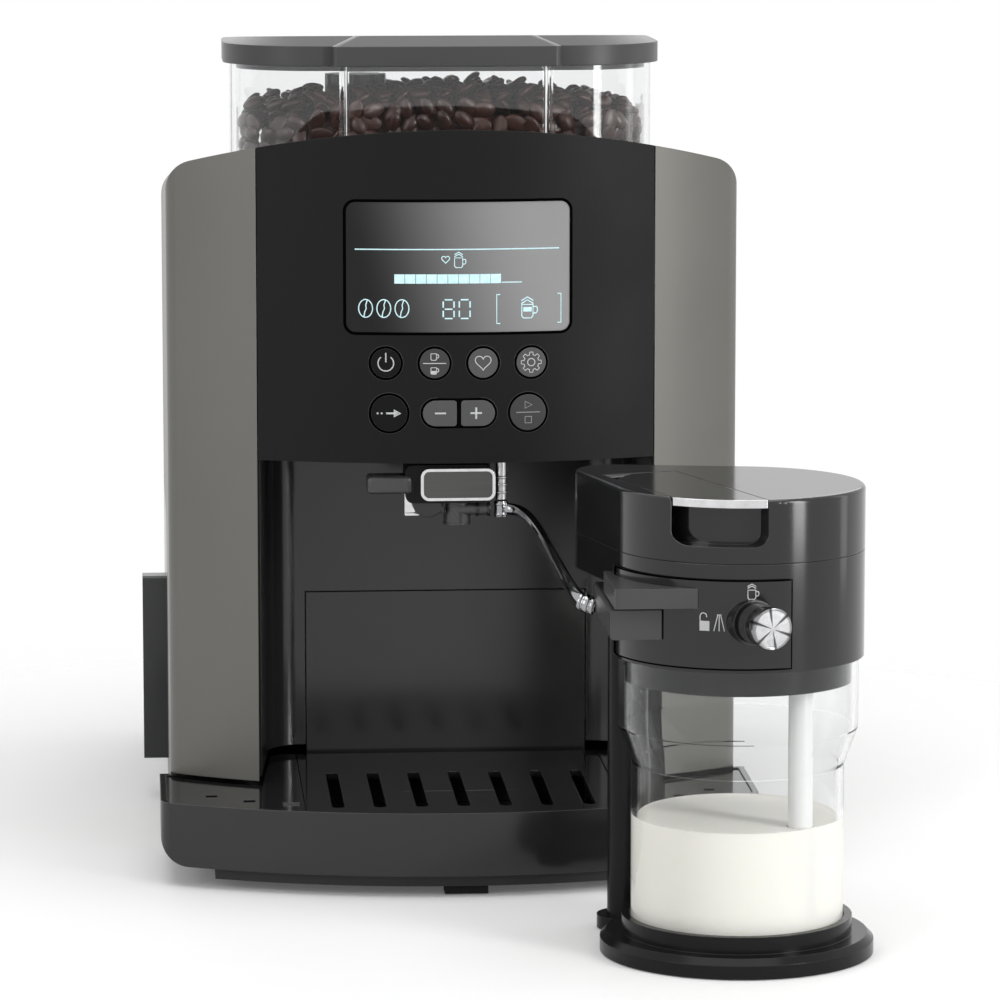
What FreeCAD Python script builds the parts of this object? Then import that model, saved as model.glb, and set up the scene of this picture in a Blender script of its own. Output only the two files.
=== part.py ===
"""Bean-to-cup coffee machine with a milk carafe, in millimetres.

X runs to the right, Y to the back and Z up. The origin lies on the counter, under the middle of the machine.
"""
import FreeCAD
import Part
import math
import os

V = FreeCAD.Vector

# Fits
CLEAR = 0.4           # gap between pieces that move past each other
SEAM = 0.4            # gap between fixed outer panels
SEAT = 0.2            # gap under a piece that rests on another
RUNNING = 0.05        # radial gap of a shaft in its bore
PROUD = 0.4           # how far buttons stand out of the front panel

# Case
BODY_HALF_W = 116.0
BODY_FRONT_Y = -134.5
BODY_BACK_Y = 183.5
FRONT_R = 200.0       # plan radius of the bowed front
FRONT_CORNER_R = 9.0
BACK_CORNER_R = 18.0
TOP_Z = 299.3         # middle of the front's top edge
TOP_FALL_DEG = 4.9    # slope of the top, down towards the back
CROWN_R = 511.0       # radius of the crowned top, seen from the front
TOP_CORNER_R = 12.0
WALL = 2.6
TOP_COVER_HALF_W = 101.0
STRIP_Z0 = 34.4       # lower end of the side strips, over the tray
SKIRT_Z0 = 5.0        # lower edge of the side panels behind the tray
BASE_Z0 = 3.5
BASE_TOP_Z = 7.6
FOOT_R = 9.0
FOOT_X = 88.0
FOOT_FRONT_Y = -70.0
FOOT_BACK_Y = 155.0
VENT_COUNT = 9
VENT_PITCH = 9.0
VENT_W = 3.2
VENT_HALF_L = 38.0
VENT_Z = 200.0
SCREW_R = 3.4
SCREW_HEAD_L = 1.4
SCREW_SHANK_R = 1.6
SCREW_SHANK_L = 8.0
SCREW_X = 68.0
SCREW_LOW_Z = 22.0
SCREW_HIGH_Z = 244.0
INLET_X = 30.0
INLET_Z = 36.0
INLET_HALF_W = 14.0
INLET_HALF_H = 10.5
INLET_DEPTH = 22.0
INLET_FLANGE = 3.0
INLET_FLANGE_L = 2.0
INLET_PIN_R = 1.6

# Front panel and its controls
FASCIA_HALF_W = 80.0
FASCIA_Z0 = 166.0
SCREEN_HALF_W = 45.0
SCREEN_Z0 = 218.4
SCREEN_Z1 = 270.9
SCREEN_R = 4.0
LENS_SET_BACK = 0.2
MODULE_RIM = 3.6      # how far the display module reaches behind the panel
MODULE_GAP = 0.1
BOARD_Y = -119.0
BOARD_T = 1.6
BOARD_HALF_W = 50.0
BOARD_Z0 = 176.0
BOARD_Z1 = 279.0
PRESS = 1.0           # button travel
COLLAR = 0.7          # width of a button's retaining collar
COLLAR_T = 1.6
ROW_1_Z = 206.3
ROW_2_Z = 186.2
SMALL_R = 5.9
LARGE_R = 7.2
SMALL_X = (-29.1, -9.7, 9.7, 29.1)
SMALL_NAMES = ("button_power", "button_two_cups", "button_favourite", "button_settings")
LARGE_X = 27.8
KEY_HALF_H = 5.15
KEY_INNER_X = 0.9
KEY_OUTER_X = 14.4
KEY_CORNER_R = 1.2

# Cup bay
BAY_FRONT_HALF_W = 79.0
BAY_BACK_HALF_W = 74.0
BAY_BACK_Y = -48.0
BAY_BEND_Y = -112.0
BAY_CORNER_R = 15.0
BAY_WALL = 2.4
BAY_Z0 = 36.0
CEILING_STEP = 1.0    # bay ceiling above the fascia's lower edge

# Drip tray, grid, float and grounds bin
TRAY_REACH = 49.0     # how far the tray's front stands ahead of the case
TRAY_HALF_W = 120.5
TRAY_BACK_Y = -94.0
TRAY_Z0 = 8.0
TRAY_RIM_Z = 33.4
TRAY_WALL = 2.6
TRAY_TOE_R = 11.0
TRAY_CORNER_R = 9.0
BOX_HALF_W = 98.0     # rear box of the tray, inside the case
BOX_BACK_Y = 15.6
GRID_T = 2.6
GRID_DROP = 0.6       # grid top below the tray's rim
LEDGE_W = 4.0
LEDGE_T = 2.0
GRID_BACK_Y = -53.0
GRID_HALF_W = 63.0
GRID_LIP = 3.0        # deck's lip under the grid's sides
DECK_GAP = 1.4        # deck's edge ahead of the case
DECK_LAP = 1.0
SLOT_COUNT = 7
SLOT_PITCH = 16.7
SLOT_W = 5.0
SLOT_Y0 = -166.0
SLOT_Y1 = -95.0
HOLE_BIG = 7.4
HOLE_SMALL = 4.6
HOLE_BIG_AT = (68.5, -157.5)
HOLE_SMALL_AT = ((85.0, -150.0), (100.0, -139.0))
FLOAT_SKIRT = 1.6
FLOAT_SKIRT_T = 2.0
BIN_HALF_W = 58.6
BIN_TOP_Z = 100.6
BIN_WALL = 2.2
BIN_BACK_Y = 12.0
LIP_HALF_W = 99.0     # front lip of the base, under the tray
LIP_SET_BACK = 3.0
FRONT_FOOT_HALF_W = 8.6
FRONT_FOOT_L = 9.0
FRONT_FOOT_INSET = 5.0

# Hopper and lid
HOPPER_HALF_W = 88.0
HOPPER_FRONT_Y = -55.0
HOPPER_BACK_Y = 45.0
HOPPER_CORNER_R = 36.0
HOPPER_WINDOW_HALF_W = 44.0
HOPPER_BULGE = 5.0
HOPPER_BULGE_R = 2.4
HOPPER_WALL = 2.2
HOPPER_RIM_Z = 320.2
HOPPER_H = 52.2
HOPPER_FLOOR_T = 2.6
NECK_R = 17.0
NECK_L = 10.0
BEAN_GAP = 0.4
BEAN_EDGE_DROP = 16.2  # filling below the hopper's rim, at its sides
BEAN_PEAK_DROP = 8.2
LID_OVERHANG = 3.0
LID_BAND_H = 8.2
LID_BEVEL_H = 4.0
LID_BEVEL_W = 10.0
LID_SKIRT_H = 2.2
LID_SKIRT_T = 2.0
LID_TOP_T = 4.6
LID_FALL = 0.055      # drop of the lid's top per unit of depth, towards the back
KNOB_AT = (-34.0, 20.0)
KNOB_R = 13.0
KNOB_STEM_R = 5.0
KNOB_DROP = 7.2
KNOB_HEAD_H = 14.0
KNOB_FLUTES = 12
KNOB_FLUTE_R = 1.6

# Grinder
GRIND_AT = (0.0, -8.0)
HOUSING_R = 38.0
HOUSING_H = 43.8
HOUSING_FLOOR_T = 5.0
HOUSING_BORE_R = 25.0
HOUSING_LEG_W = 30.0
HOUSING_LEG_T = 6.0
BURR_RING_T = 6.0
BURR_RING_H = 18.0
BURR_GAP = 1.2
BURR_TAPER = 6.0
SHAFT_R = 5.0
GEAR_MODULE = 1.6
GEAR_TEETH = 40
PINION_TEETH = 12
GEAR_BACKLASH = 0.25
TOOTH_ROOT = 1.15     # tooth depths in modules, and half widths in pitches
TOOTH_TIP = 0.75
TOOTH_ROOT_W = 0.30
TOOTH_TIP_W = 0.13
GEAR_T = 7.0
GEAR_DROP = 4.0       # gap between the gear and the housing above it
MOTOR_R = 18.5
MOTOR_H = 68.0
MOTOR_SHAFT_R = 3.0
MOTOR_SOCKET = 10.0
MOTOR_GAP = 4.0

# Brewing unit
BREW_AT = (-14.0, -14.0)
BREW_R = 26.0
BREW_BORE_R = 22.0
BREW_Z0 = 106.0
BREW_H = 50.0
BREW_FLOOR_T = 6.0
PISTON_T = 16.0
PISTON_ROD_R = 6.0
PISTON_ROD_L = 30.0
FRAME_Y = 17.0
FRAME_T = 2.4
FRAME_HALF_W = 109.0
FRAME_TOP_Z = 194.0
SHELF_Z = 128.0
SHELF_BACK_Y = 176.0
BRACKET_HALF_W = 11.0
BRACKET_H = 30.0
HEATER_X0 = 30.0
HEATER_X1 = 98.0
HEATER_Y0 = 60.0
HEATER_Y1 = 150.0
HEATER_H = 46.0
FIN_COUNT = 6
FIN_T = 3.0
FIN_H = 6.0
PUMP_X = 56.0
PUMP_Y0 = 62.0
PUMP_L = 78.0
PUMP_R = 22.0
PUMP_FOOT_H = 5.0
PUMP_NOSE_R = 8.0
PUMP_NOSE_L = 14.0
PUMP_CRADLE_HALF_W = 17.6
POWER_BOARD_X = 98.0
POWER_BOARD_T = 1.6
POWER_BOARD_Y0 = 36.0
POWER_BOARD_Y1 = 156.0
POWER_BOARD_H = 96.0

# Water tank, pulled out to the left
TANK_Y0 = 21.0
TANK_Y1 = 165.0
TANK_X1 = -12.0
TANK_TOP_Z = 121.0
TANK_WALL = 2.2
TANK_CORNER_R = 6.0
TANK_LID_T = 3.0
TANK_LID_LIP = 4.0
GRIP_W = 10.5
GRIP_Y0 = 22.5
GRIP_Y1 = 34.5
GRIP_Z0 = 17.0
GRIP_Z1 = 97.0
GRIP_R = 2.0
VALVE_Y = 60.0
VALVE_Z = 24.0
VALVE_R = 7.0
VALVE_L = 9.0
DOCK_GAP = 4.0
DOCK_L = 15.0
DOCK_HALF_W = 12.0
DOCK_WALL = 6.0

# Spout, steam nozzle and milk tube
SPOUT_FRONT_Y = -130.0
SPOUT_BACK_Y = -106.0
SPOUT_X0 = -21.0
SPOUT_X1 = 13.4
SPOUT_Z0 = 149.0
SPOUT_Z1 = 164.4
SPOUT_R = 3.0
MAST_HALF_W = 14.0
MAST_T = 7.0
MAST_H = 42.0
BADGE_HALF_W = 15.0
BADGE_Z0 = 150.2
BADGE_Z1 = 163.2
BADGE_R = 3.4
BADGE_T = 2.6
BADGE_RIM = 1.2
BADGE_PLATE_T = 1.6
LEVER_X0 = -36.0
LEVER_Y0 = -129.0
LEVER_Y1 = -117.0
LEVER_Z0 = 153.4
LEVER_Z1 = 158.4
LEVER_R = 2.2
OUTLET_AT = (0.0, -121.0)
OUTLET_R = 5.4
OUTLET_Z0 = 139.6
OUTLET_BORE_R = 1.6
OUTLET_BORE_X = 2.6
SLEEVE_R = 2.4
SLEEVE_DROP = 3.0
NOZZLE_AT = (17.6, -124.0)
NOZZLE_R = 2.2
NOZZLE_FLANGE_R = 5.0
NOZZLE_FLANGE_T = 2.0
NOZZLE_TIP_Z = 150.0
NOZZLE_RING_R = 0.5
NOZZLE_RINGS = 3
NOZZLE_RING_PITCH = 3.0
ELBOW_R = 3.0
ELBOW_Z0 = 142.6
TUBE_R = 2.4
TUBE_ROUTE = ((17.6, -124.0, 146.3), (27.5, -125.0, 145.0), (32.0, -250.0, 131.5), (44.6, -255.0, 126.8))
TUBE_BENDS = (7.0, 14.0)
FERRULE_R = 3.6
FERRULE_L = 7.0

# Milk carafe
CARAFE_AT = (95.2, -280.0)
CARAFE_BASE_R = 51.6
CARAFE_BASE_H = 7.5
CARAFE_BEVEL = 2.4
CARAFE_RING_H = 6.5
CARAFE_RING_T = 3.0
JUG_LOW_R = 40.0
JUG_HIGH_R = 45.0
JUG_STEP_Z0 = 72.0
JUG_STEP_Z1 = 86.0
JUG_RIM_Z = 113.0
JUG_WALL = 2.2
JUG_FLOOR_T = 3.0
MILK_TOP_Z = 52.0
MILK_GAP = 0.3
SPINE_AT = (57.0, -240.0)
SPINE_R = 7.0
SPINE_FOOT_R = 11.0
HEAD_R = 47.0
HEAD_Z1 = 153.6
HEAD_WALL = 3.0
NECK_DEPTH = 9.0
NECK_FLOOR_T = 3.0
HEAD_DRAIN_R = 12.0
LOBE_AT = (52.0, -239.0)
LOBE_R = 14.5
LOBE_Z0 = 140.0
COVER_Z1 = 177.4
COVER_TOP_T = 6.0
COVER_WALL = 3.0
COVER_EDGE_R = 1.6
PLATE_T = 1.0
PLATE_Z0 = 115.0
PLATE_Z1 = 147.8
PLATE_LEFT_DEG = -84.0
PLATE_RIGHT_DEG = 17.0
PLATE_STEPS = 6
DUCT_X0 = 43.5
DUCT_X1 = 62.5
DUCT_Y0 = -316.0
DUCT_Y1 = -248.4
DUCT_Z0 = 124.6
DUCT_Z1 = 135.6
DUCT_R = 1.5
DUCT_BORE_R = 2.2
DUCT_BORE_RISE = 1.0  # bore above the tube's end point
BAR_X0 = 44.5
BAR_X1 = 80.0
BAR_Y0 = -323.5
BAR_Z0 = 137.2
BAR_Z1 = 144.6
BAR_R = 2.0
FROTH_AT = (94.1, -327.6, 132.7)
FROTH_DEG = 20.0      # the knob's axis, from straight ahead towards the right
FROTH_BOSS_R = 8.4
FROTH_BOSS_L = 2.5
FROTH_R = 7.2
FROTH_L = 10.0
FROTH_CAP_R = 7.7
FROTH_CAP_L = 4.6
FROTH_PIN_R = 3.0
FROTH_PIN_L = 9.0
FLAP_AT = (83.2, -322.0)
FLAP_DEG = 17.5       # the flap runs back and to the left by this angle
FLAP_HALF_W = 14.6
FLAP_L = 74.0
FLAP_T = 2.2
FLAP_EDGE_T = 1.0
FLAP_EDGE_H = 3.0
FLAP_FILL_RIM = 4.0
FLAP_FILL_FRONT = 22.0
FLAP_FILL_BACK = 50.0
FINGER_DEPTH = 7.0
FINGER_R = 5.0
FINGER_Z0 = 160.0
SUCTION_AT = (115.6, -304.0)
SUCTION_R = 4.5
SUCTION_BORE_R = 2.4
SUCTION_Z0 = 20.0

# Derived places
FRONT_CY = BODY_FRONT_Y + FRONT_R
TRAY_R = FRONT_R + TRAY_REACH
TRAY_FLOOR_Z = TRAY_Z0 + TRAY_WALL
GRID_Z1 = TRAY_RIM_Z - GRID_DROP
GRID_Z0 = GRID_Z1 - GRID_T
CEILING_Z = FASCIA_Z0 + CEILING_STEP
HOPPER_FLOOR_Z = HOPPER_RIM_Z - HOPPER_H
BEAN_EDGE_Z = HOPPER_RIM_Z - BEAN_EDGE_DROP
BEAN_PEAK_Z = HOPPER_RIM_Z - BEAN_PEAK_DROP
KNOB_TOP_Z = HOPPER_RIM_Z - KNOB_DROP
HOUSING_Z1 = HOPPER_FLOOR_Z - NECK_L - SEAT
HOUSING_Z0 = HOUSING_Z1 - HOUSING_H
HEAD_Z0 = JUG_RIM_Z + CLEAR
LID_Z0 = HOPPER_RIM_Z + SEAT
LID_BAND_Z1 = LID_Z0 + LID_BAND_H
LID_Z1 = LID_BAND_Z1 + LID_BEVEL_H
FAR = 400.0
NEARLY_ROUND = 0.49   # corner radius of a slot, as a share of its width


def slab(x0, x1, y0, y1, z0, z1):
    return Part.makeBox(x1 - x0, y1 - y0, z1 - z0, V(x0, y0, z0))


def post(at, radius, z0, z1):
    return Part.makeCylinder(radius, z1 - z0, V(at[0], at[1], z0))


def rod(start, end, radius):
    run = V(*end) - V(*start)
    return Part.makeCylinder(radius, run.Length, V(*start), run)


def rod_y(x, z, radius, y0, y1):
    return rod((x, y0, z), (x, y1, z), radius)


def joined(shapes):
    whole = shapes[0]
    for shape in shapes[1:]:
        whole = whole.fuse(shape)
    return whole.removeSplitter()


def prism(points, z0, z1):
    wire = Part.makePolygon([V(x, y, z0) for x, y in points] + [V(points[0][0], points[0][1], z0)])
    return Part.Face(wire).extrude(V(0, 0, z1 - z0))


def along(edge, axis):
    first = edge.Vertexes[0].Point
    last = edge.Vertexes[-1].Point
    run = last - first
    return run.Length > 1e-6 and abs(run.dot(axis)) > run.Length * 0.9999


def rounded(shape, radius, axis, keep=lambda point: True):
    """Rounds the straight edges that run along an axis and whose middle passes a test."""
    edges = []
    for edge in shape.Edges:
        if along(edge, axis) and keep(edge.CenterOfMass):
            edges.append(edge)
    return shape.makeFillet(radius, edges)


def plate_xz(x0, x1, z0, z1, radius, y0, y1):
    return rounded(slab(x0, x1, y0, y1, z0, z1), radius, V(0, 1, 0))


def mirrored(shape):
    return shape.mirror(V(0, 0, 0), V(1, 0, 0))


def above_slope(y, z, fall):
    """Everything above a plane through a height at one depth, which falls towards the back."""
    corners = [V(-FAR, y - FAR, z + FAR * fall), V(-FAR, y + FAR, z - FAR * fall), V(-FAR, y + FAR, 2 * FAR),
               V(-FAR, y - FAR, 2 * FAR)]
    return Part.Face(Part.makePolygon(corners + [corners[0]])).extrude(V(2 * FAR, 0, 0))


def drum(radius):
    """Upright cylinder about the axis of the bowed front."""
    return post((0, FRONT_CY), radius, -FAR, FAR)


def bowed_plan(radius, half_w, back_y, z0, z1):
    corner_y = FRONT_CY - math.sqrt(radius ** 2 - half_w ** 2)
    front = Part.Arc(V(-half_w, corner_y, z0), V(0, FRONT_CY - radius, z0), V(half_w, corner_y, z0)).toShape()
    right = Part.makeLine(V(half_w, corner_y, z0), V(half_w, back_y, z0))
    back = Part.makeLine(V(half_w, back_y, z0), V(-half_w, back_y, z0))
    left = Part.makeLine(V(-half_w, back_y, z0), V(-half_w, corner_y, z0))
    return Part.Face(Part.Wire([front, right, back, left])).extrude(V(0, 0, z1 - z0))


def case_plan(inset, z0, z1):
    solid = bowed_plan(FRONT_R - inset, BODY_HALF_W - inset, BODY_BACK_Y - inset, z0, z1)
    solid = rounded(solid, FRONT_CORNER_R - inset, V(0, 0, 1), lambda p: p.y < 0)
    return rounded(solid, BACK_CORNER_R - inset, V(0, 0, 1), lambda p: p.y > BODY_BACK_Y - inset - 0.01)


def case_solid(inset, z0):
    """Outer form of the case, drawn in by an inset, from z0 up to the crowned top."""
    half_w = BODY_HALF_W - inset
    crown = CROWN_R - inset
    start_y = -FAR
    top = TOP_Z - inset
    side = top - (crown - math.sqrt(crown ** 2 - half_w ** 2))
    arch = Part.Arc(V(-half_w, start_y, side), V(0, start_y, top), V(half_w, start_y, side)).toShape()
    low = -FAR
    right = Part.makeLine(V(half_w, start_y, side), V(half_w, start_y, low))
    floor = Part.makeLine(V(half_w, start_y, low), V(-half_w, start_y, low))
    left = Part.makeLine(V(-half_w, start_y, low), V(-half_w, start_y, side))
    tunnel = Part.Face(Part.Wire([arch, right, floor, left])).extrude(V(0, 2 * FAR, 0))
    tunnel = rounded(tunnel, TOP_CORNER_R - inset, V(0, 1, 0), lambda p: p.z > 0)
    tunnel.rotate(V(0, BODY_FRONT_Y, TOP_Z), V(1, 0, 0), -TOP_FALL_DEG)
    return case_plan(inset, z0, FAR).common(tunnel)


CASE_SHELL = case_solid(0, SKIRT_Z0).cut(case_solid(WALL, SKIRT_Z0 - WALL))
CASE_INNER = case_plan(WALL, -FAR, FAR)
UPRIGHT_WALLS = CASE_SHELL.cut(CASE_INNER)


def base_pan():
    floor = case_plan(WALL + SEAM, BASE_Z0, BASE_TOP_Z)
    lip = post((0, FRONT_CY), TRAY_R - LIP_SET_BACK, BASE_Z0, BASE_TOP_Z)
    lip = lip.common(slab(-LIP_HALF_W, LIP_HALF_W, -FAR, 0, BASE_Z0, BASE_TOP_Z))
    return joined([floor, lip, tank_dock()])


def rubber_feet():
    feet = []
    for x in (-FOOT_X, FOOT_X):
        for y in (FOOT_FRONT_Y, FOOT_BACK_Y):
            feet.append(post((x, y), FOOT_R, 0, BASE_Z0))
    feet.append(post((0, 0), FOOT_R, 0, BASE_Z0))
    front_y = FRONT_CY - TRAY_R + FRONT_FOOT_INSET
    feet.append(slab(-FRONT_FOOT_HALF_W, FRONT_FOOT_HALF_W, front_y, front_y + FRONT_FOOT_L, 0, BASE_Z0))
    return Part.makeCompound(feet)


def side_panel():
    """Left side: front strip, side wall and rounded top edge in one piece."""
    panel = CASE_SHELL.common(slab(-FAR, -FASCIA_HALF_W - SEAM / 2, -FAR, FAR, 0, FAR))
    panel = panel.cut(CASE_INNER.common(slab(-TOP_COVER_HALF_W - SEAM / 2, 0, -FAR, FAR, 0, FAR)))
    return panel.cut(slab(-FAR, 0, -FAR, TRAY_BACK_Y + CLEAR, 0, STRIP_Z0))


def left_side_panel():
    window = slab(-FAR, -BODY_HALF_W + WALL + 1, TANK_Y0 - CLEAR, TANK_Y1 + CLEAR, BASE_TOP_Z, TANK_TOP_Z + CLEAR)
    window = rounded(window, TANK_CORNER_R + CLEAR, V(1, 0, 0))
    return side_panel().cut(window)


def right_side_panel():
    return mirrored(side_panel())


def top_cover():
    cover = CASE_SHELL.common(CASE_INNER)
    half_w = TOP_COVER_HALF_W - SEAM / 2
    inner = case_plan(WALL + SEAM, 0, FAR).common(slab(-half_w, half_w, -FAR, FAR, 0, FAR))
    return cover.common(inner).cut(hopper_plan(-CLEAR, 0, FAR))


def rear_panel():
    half_w = FASCIA_HALF_W - SEAM / 2
    panel = UPRIGHT_WALLS.common(slab(-half_w, half_w, 0, FAR, 0, FAR))
    for index in range(VENT_COUNT):
        z = VENT_Z + (index - (VENT_COUNT - 1) / 2) * VENT_PITCH
        vent = plate_xz(-VENT_HALF_L, VENT_HALF_L, z - VENT_W / 2, z + VENT_W / 2, VENT_W * NEARLY_ROUND, 0, FAR)
        panel = panel.cut(vent)
    panel = panel.cut(slab(INLET_X - INLET_HALF_W, INLET_X + INLET_HALF_W, 0, FAR,
                           INLET_Z - INLET_HALF_H, INLET_Z + INLET_HALF_H))
    for x, z in screw_places():
        panel = panel.cut(rod_y(x, z, SCREW_SHANK_R, 0, FAR))
    return panel


def screw_places():
    return [(x, z) for x in (-SCREW_X, SCREW_X) for z in (SCREW_LOW_Z, SCREW_HIGH_Z)]


def case_screws():
    screws = []
    for x, z in screw_places():
        head = rod_y(x, z, SCREW_R, BODY_BACK_Y, BODY_BACK_Y + SCREW_HEAD_L)
        shank = rod_y(x, z, SCREW_SHANK_R, BODY_BACK_Y - SCREW_SHANK_L, BODY_BACK_Y)
        screws.append(joined([head, shank]))
    return Part.makeCompound(screws)


def power_inlet():
    back = BODY_BACK_Y
    front = back - INLET_DEPTH
    body = slab(INLET_X - INLET_HALF_W, INLET_X + INLET_HALF_W, front, back,
                INLET_Z - INLET_HALF_H, INLET_Z + INLET_HALF_H)
    flange = plate_xz(INLET_X - INLET_HALF_W - INLET_FLANGE, INLET_X + INLET_HALF_W + INLET_FLANGE,
                      INLET_Z - INLET_HALF_H - INLET_FLANGE, INLET_Z + INLET_HALF_H + INLET_FLANGE,
                      INLET_FLANGE, back, back + INLET_FLANGE_L)
    socket = slab(INLET_X - INLET_HALF_W + INLET_FLANGE, INLET_X + INLET_HALF_W - INLET_FLANGE,
                  front + INLET_FLANGE, back + INLET_FLANGE_L,
                  INLET_Z - INLET_HALF_H + INLET_FLANGE, INLET_Z + INLET_HALF_H - INLET_FLANGE)
    inlet = joined([body, flange]).cut(socket)
    pins = []
    for offset in (-INLET_HALF_W / 3, INLET_HALF_W / 3):
        pins.append(rod_y(INLET_X + offset, INLET_Z, INLET_PIN_R, front, back - INLET_FLANGE))
    return joined([inlet] + pins)


def button_outline(kind, x, z, grow, y0, y1):
    """Round button, or a key that is round at its outer end, drawn out along the depth."""
    if kind == "round_small":
        return rod_y(x, z, SMALL_R + grow, y0, y1)
    if kind == "round_large":
        return rod_y(x, z, LARGE_R + grow, y0, y1)
    half_h = KEY_HALF_H + grow
    inner = KEY_INNER_X - grow
    centre = KEY_OUTER_X - KEY_HALF_H
    straight = plate_xz(inner, centre + half_h, z - half_h, z + half_h, KEY_CORNER_R, y0, y1)
    straight = straight.cut(slab(centre, FAR, -FAR, FAR, -FAR, FAR))
    key = joined([straight, rod_y(centre, z, half_h, y0, y1)])
    return mirrored(key) if kind == "key_left" else key


BUTTONS = [(name, "round_small", x, ROW_1_Z) for name, x in zip(SMALL_NAMES, SMALL_X)]
BUTTONS += [
    ("button_next", "round_large", -LARGE_X, ROW_2_Z),
    ("button_minus", "key_left", 0, ROW_2_Z),
    ("button_plus", "key_right", 0, ROW_2_Z),
    ("button_start", "round_large", LARGE_X, ROW_2_Z),
]


def button(kind, x, z):
    back_y = BOARD_Y - PRESS - CLEAR
    cap = button_outline(kind, x, z, 0, -FAR, back_y).common(drum(FRONT_R + PROUD))
    behind = drum(FRONT_R - WALL - SEAT)
    collar = button_outline(kind, x, z, COLLAR, -FAR, back_y).common(behind)
    collar = collar.cut(drum(FRONT_R - WALL - SEAT - COLLAR_T))
    return joined([cap, collar])


def screen_block(grow, y0, y1):
    return plate_xz(-SCREEN_HALF_W - grow, SCREEN_HALF_W + grow, SCREEN_Z0 - grow, SCREEN_Z1 + grow,
                    SCREEN_R + max(grow, 0), y0, y1)


def front_panel():
    half_w = FASCIA_HALF_W - SEAM / 2
    panel = UPRIGHT_WALLS.common(slab(-half_w, half_w, -FAR, 0, FASCIA_Z0, FAR))
    panel = panel.cut(screen_block(SEAM, -FAR, 0))
    for name, kind, x, z in BUTTONS:
        panel = panel.cut(button_outline(kind, x, z, CLEAR, -FAR, 0))
    return panel


def display_window():
    window = screen_block(0, -FAR, 0).common(drum(FRONT_R - LENS_SET_BACK))
    return window.cut(drum(FRONT_R - WALL))


def display_module():
    return screen_block(MODULE_RIM, -FAR, BOARD_Y).common(drum(FRONT_R - WALL - MODULE_GAP))


def control_board():
    return slab(-BOARD_HALF_W, BOARD_HALF_W, BOARD_Y, BOARD_Y + BOARD_T, BOARD_Z0, BOARD_Z1)


def bay_space(grow, z0, z1):
    front = BAY_FRONT_HALF_W + grow
    back = BAY_BACK_HALF_W + grow
    back_y = BAY_BACK_Y + grow
    points = [(-front, -FAR), (front, -FAR), (front, BAY_BEND_Y), (back, back_y), (-back, back_y), (-front, BAY_BEND_Y)]
    return rounded(prism(points, z0, z1), BAY_CORNER_R + grow, V(0, 0, 1), lambda p: p.y > back_y - 1)


def mast_solid(grow, z0, z1):
    y0 = SPOUT_BACK_Y - MAST_T
    return slab(-MAST_HALF_W - grow, MAST_HALF_W + grow, y0 - grow, SPOUT_BACK_Y + grow, z0, z1)


def bin_window():
    return slab(-BIN_HALF_W - CLEAR, BIN_HALF_W + CLEAR, BAY_BACK_Y - CLEAR, BAY_BACK_Y + BAY_WALL + CLEAR,
                0, BIN_TOP_Z + CLEAR)


def bay_liner():
    liner = bay_space(BAY_WALL, BAY_Z0, CEILING_Z + BAY_WALL).cut(bay_space(0, 0, CEILING_Z))
    liner = liner.common(case_plan(WALL + SEAT, 0, FAR))
    liner = liner.cut(mast_solid(CLEAR, 0, FAR)).cut(bin_window())
    return liner.cut(post(NOZZLE_AT, NOZZLE_R + SEAT, CEILING_Z - 1, FAR))


def hopper_plan(inset, z0, z1):
    """Rounded box with a flat window that stands out of its front."""
    half_w = HOPPER_HALF_W - inset
    back_y = HOPPER_BACK_Y - inset
    front_y = HOPPER_FRONT_Y + inset
    tub = rounded(slab(-half_w, half_w, front_y, back_y, z0, z1), HOPPER_CORNER_R - inset, V(0, 0, 1))
    window_w = HOPPER_WINDOW_HALF_W - inset
    window = slab(-window_w, window_w, front_y - HOPPER_BULGE, 0, z0, z1)
    window = rounded(window, HOPPER_BULGE_R, V(0, 0, 1), lambda p: p.y < front_y)
    return joined([tub, window])


def bean_hopper():
    hopper = hopper_plan(0, HOPPER_FLOOR_Z, HOPPER_RIM_Z)
    hopper = hopper.cut(hopper_plan(HOPPER_WALL, HOPPER_FLOOR_Z + HOPPER_FLOOR_T, FAR))
    neck = post(GRIND_AT, NECK_R, HOPPER_FLOOR_Z - NECK_L, HOPPER_FLOOR_Z + HOPPER_FLOOR_T)
    hopper = joined([hopper, neck])
    hopper = hopper.cut(post(GRIND_AT, NECK_R - HOPPER_WALL, 0, HOPPER_FLOOR_Z + HOPPER_FLOOR_T))
    return hopper.cut(post(KNOB_AT, KNOB_STEM_R + RUNNING, 0, FAR))


def coffee_beans():
    floor_z = HOPPER_FLOOR_Z + HOPPER_FLOOR_T
    heap = hopper_plan(HOPPER_WALL + BEAN_GAP, floor_z, BEAN_PEAK_Z)
    half_w = HOPPER_HALF_W
    rise = BEAN_PEAK_Z - BEAN_EDGE_Z
    dome_r = (half_w ** 2 + rise ** 2) / (2 * rise)
    heap = heap.common(rod_y(0, BEAN_PEAK_Z - dome_r, dome_r, -FAR, FAR))
    return heap.cut(post(KNOB_AT, KNOB_R + CLEAR, 0, FAR))


def grind_knob():
    floor_z = HOPPER_FLOOR_Z + HOPPER_FLOOR_T
    column = post(KNOB_AT, KNOB_R - KNOB_FLUTE_R, floor_z + CLEAR, KNOB_TOP_Z)
    head = post(KNOB_AT, KNOB_R, KNOB_TOP_Z - KNOB_HEAD_H, KNOB_TOP_Z)
    for index in range(KNOB_FLUTES):
        angle = 2 * math.pi * index / KNOB_FLUTES
        at = (KNOB_AT[0] + KNOB_R * math.cos(angle), KNOB_AT[1] + KNOB_R * math.sin(angle))
        head = head.cut(post(at, KNOB_FLUTE_R, 0, FAR))
    stem = post(KNOB_AT, KNOB_STEM_R, HOPPER_FLOOR_Z - NECK_L, KNOB_TOP_Z)
    return joined([column, head, stem])


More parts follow.
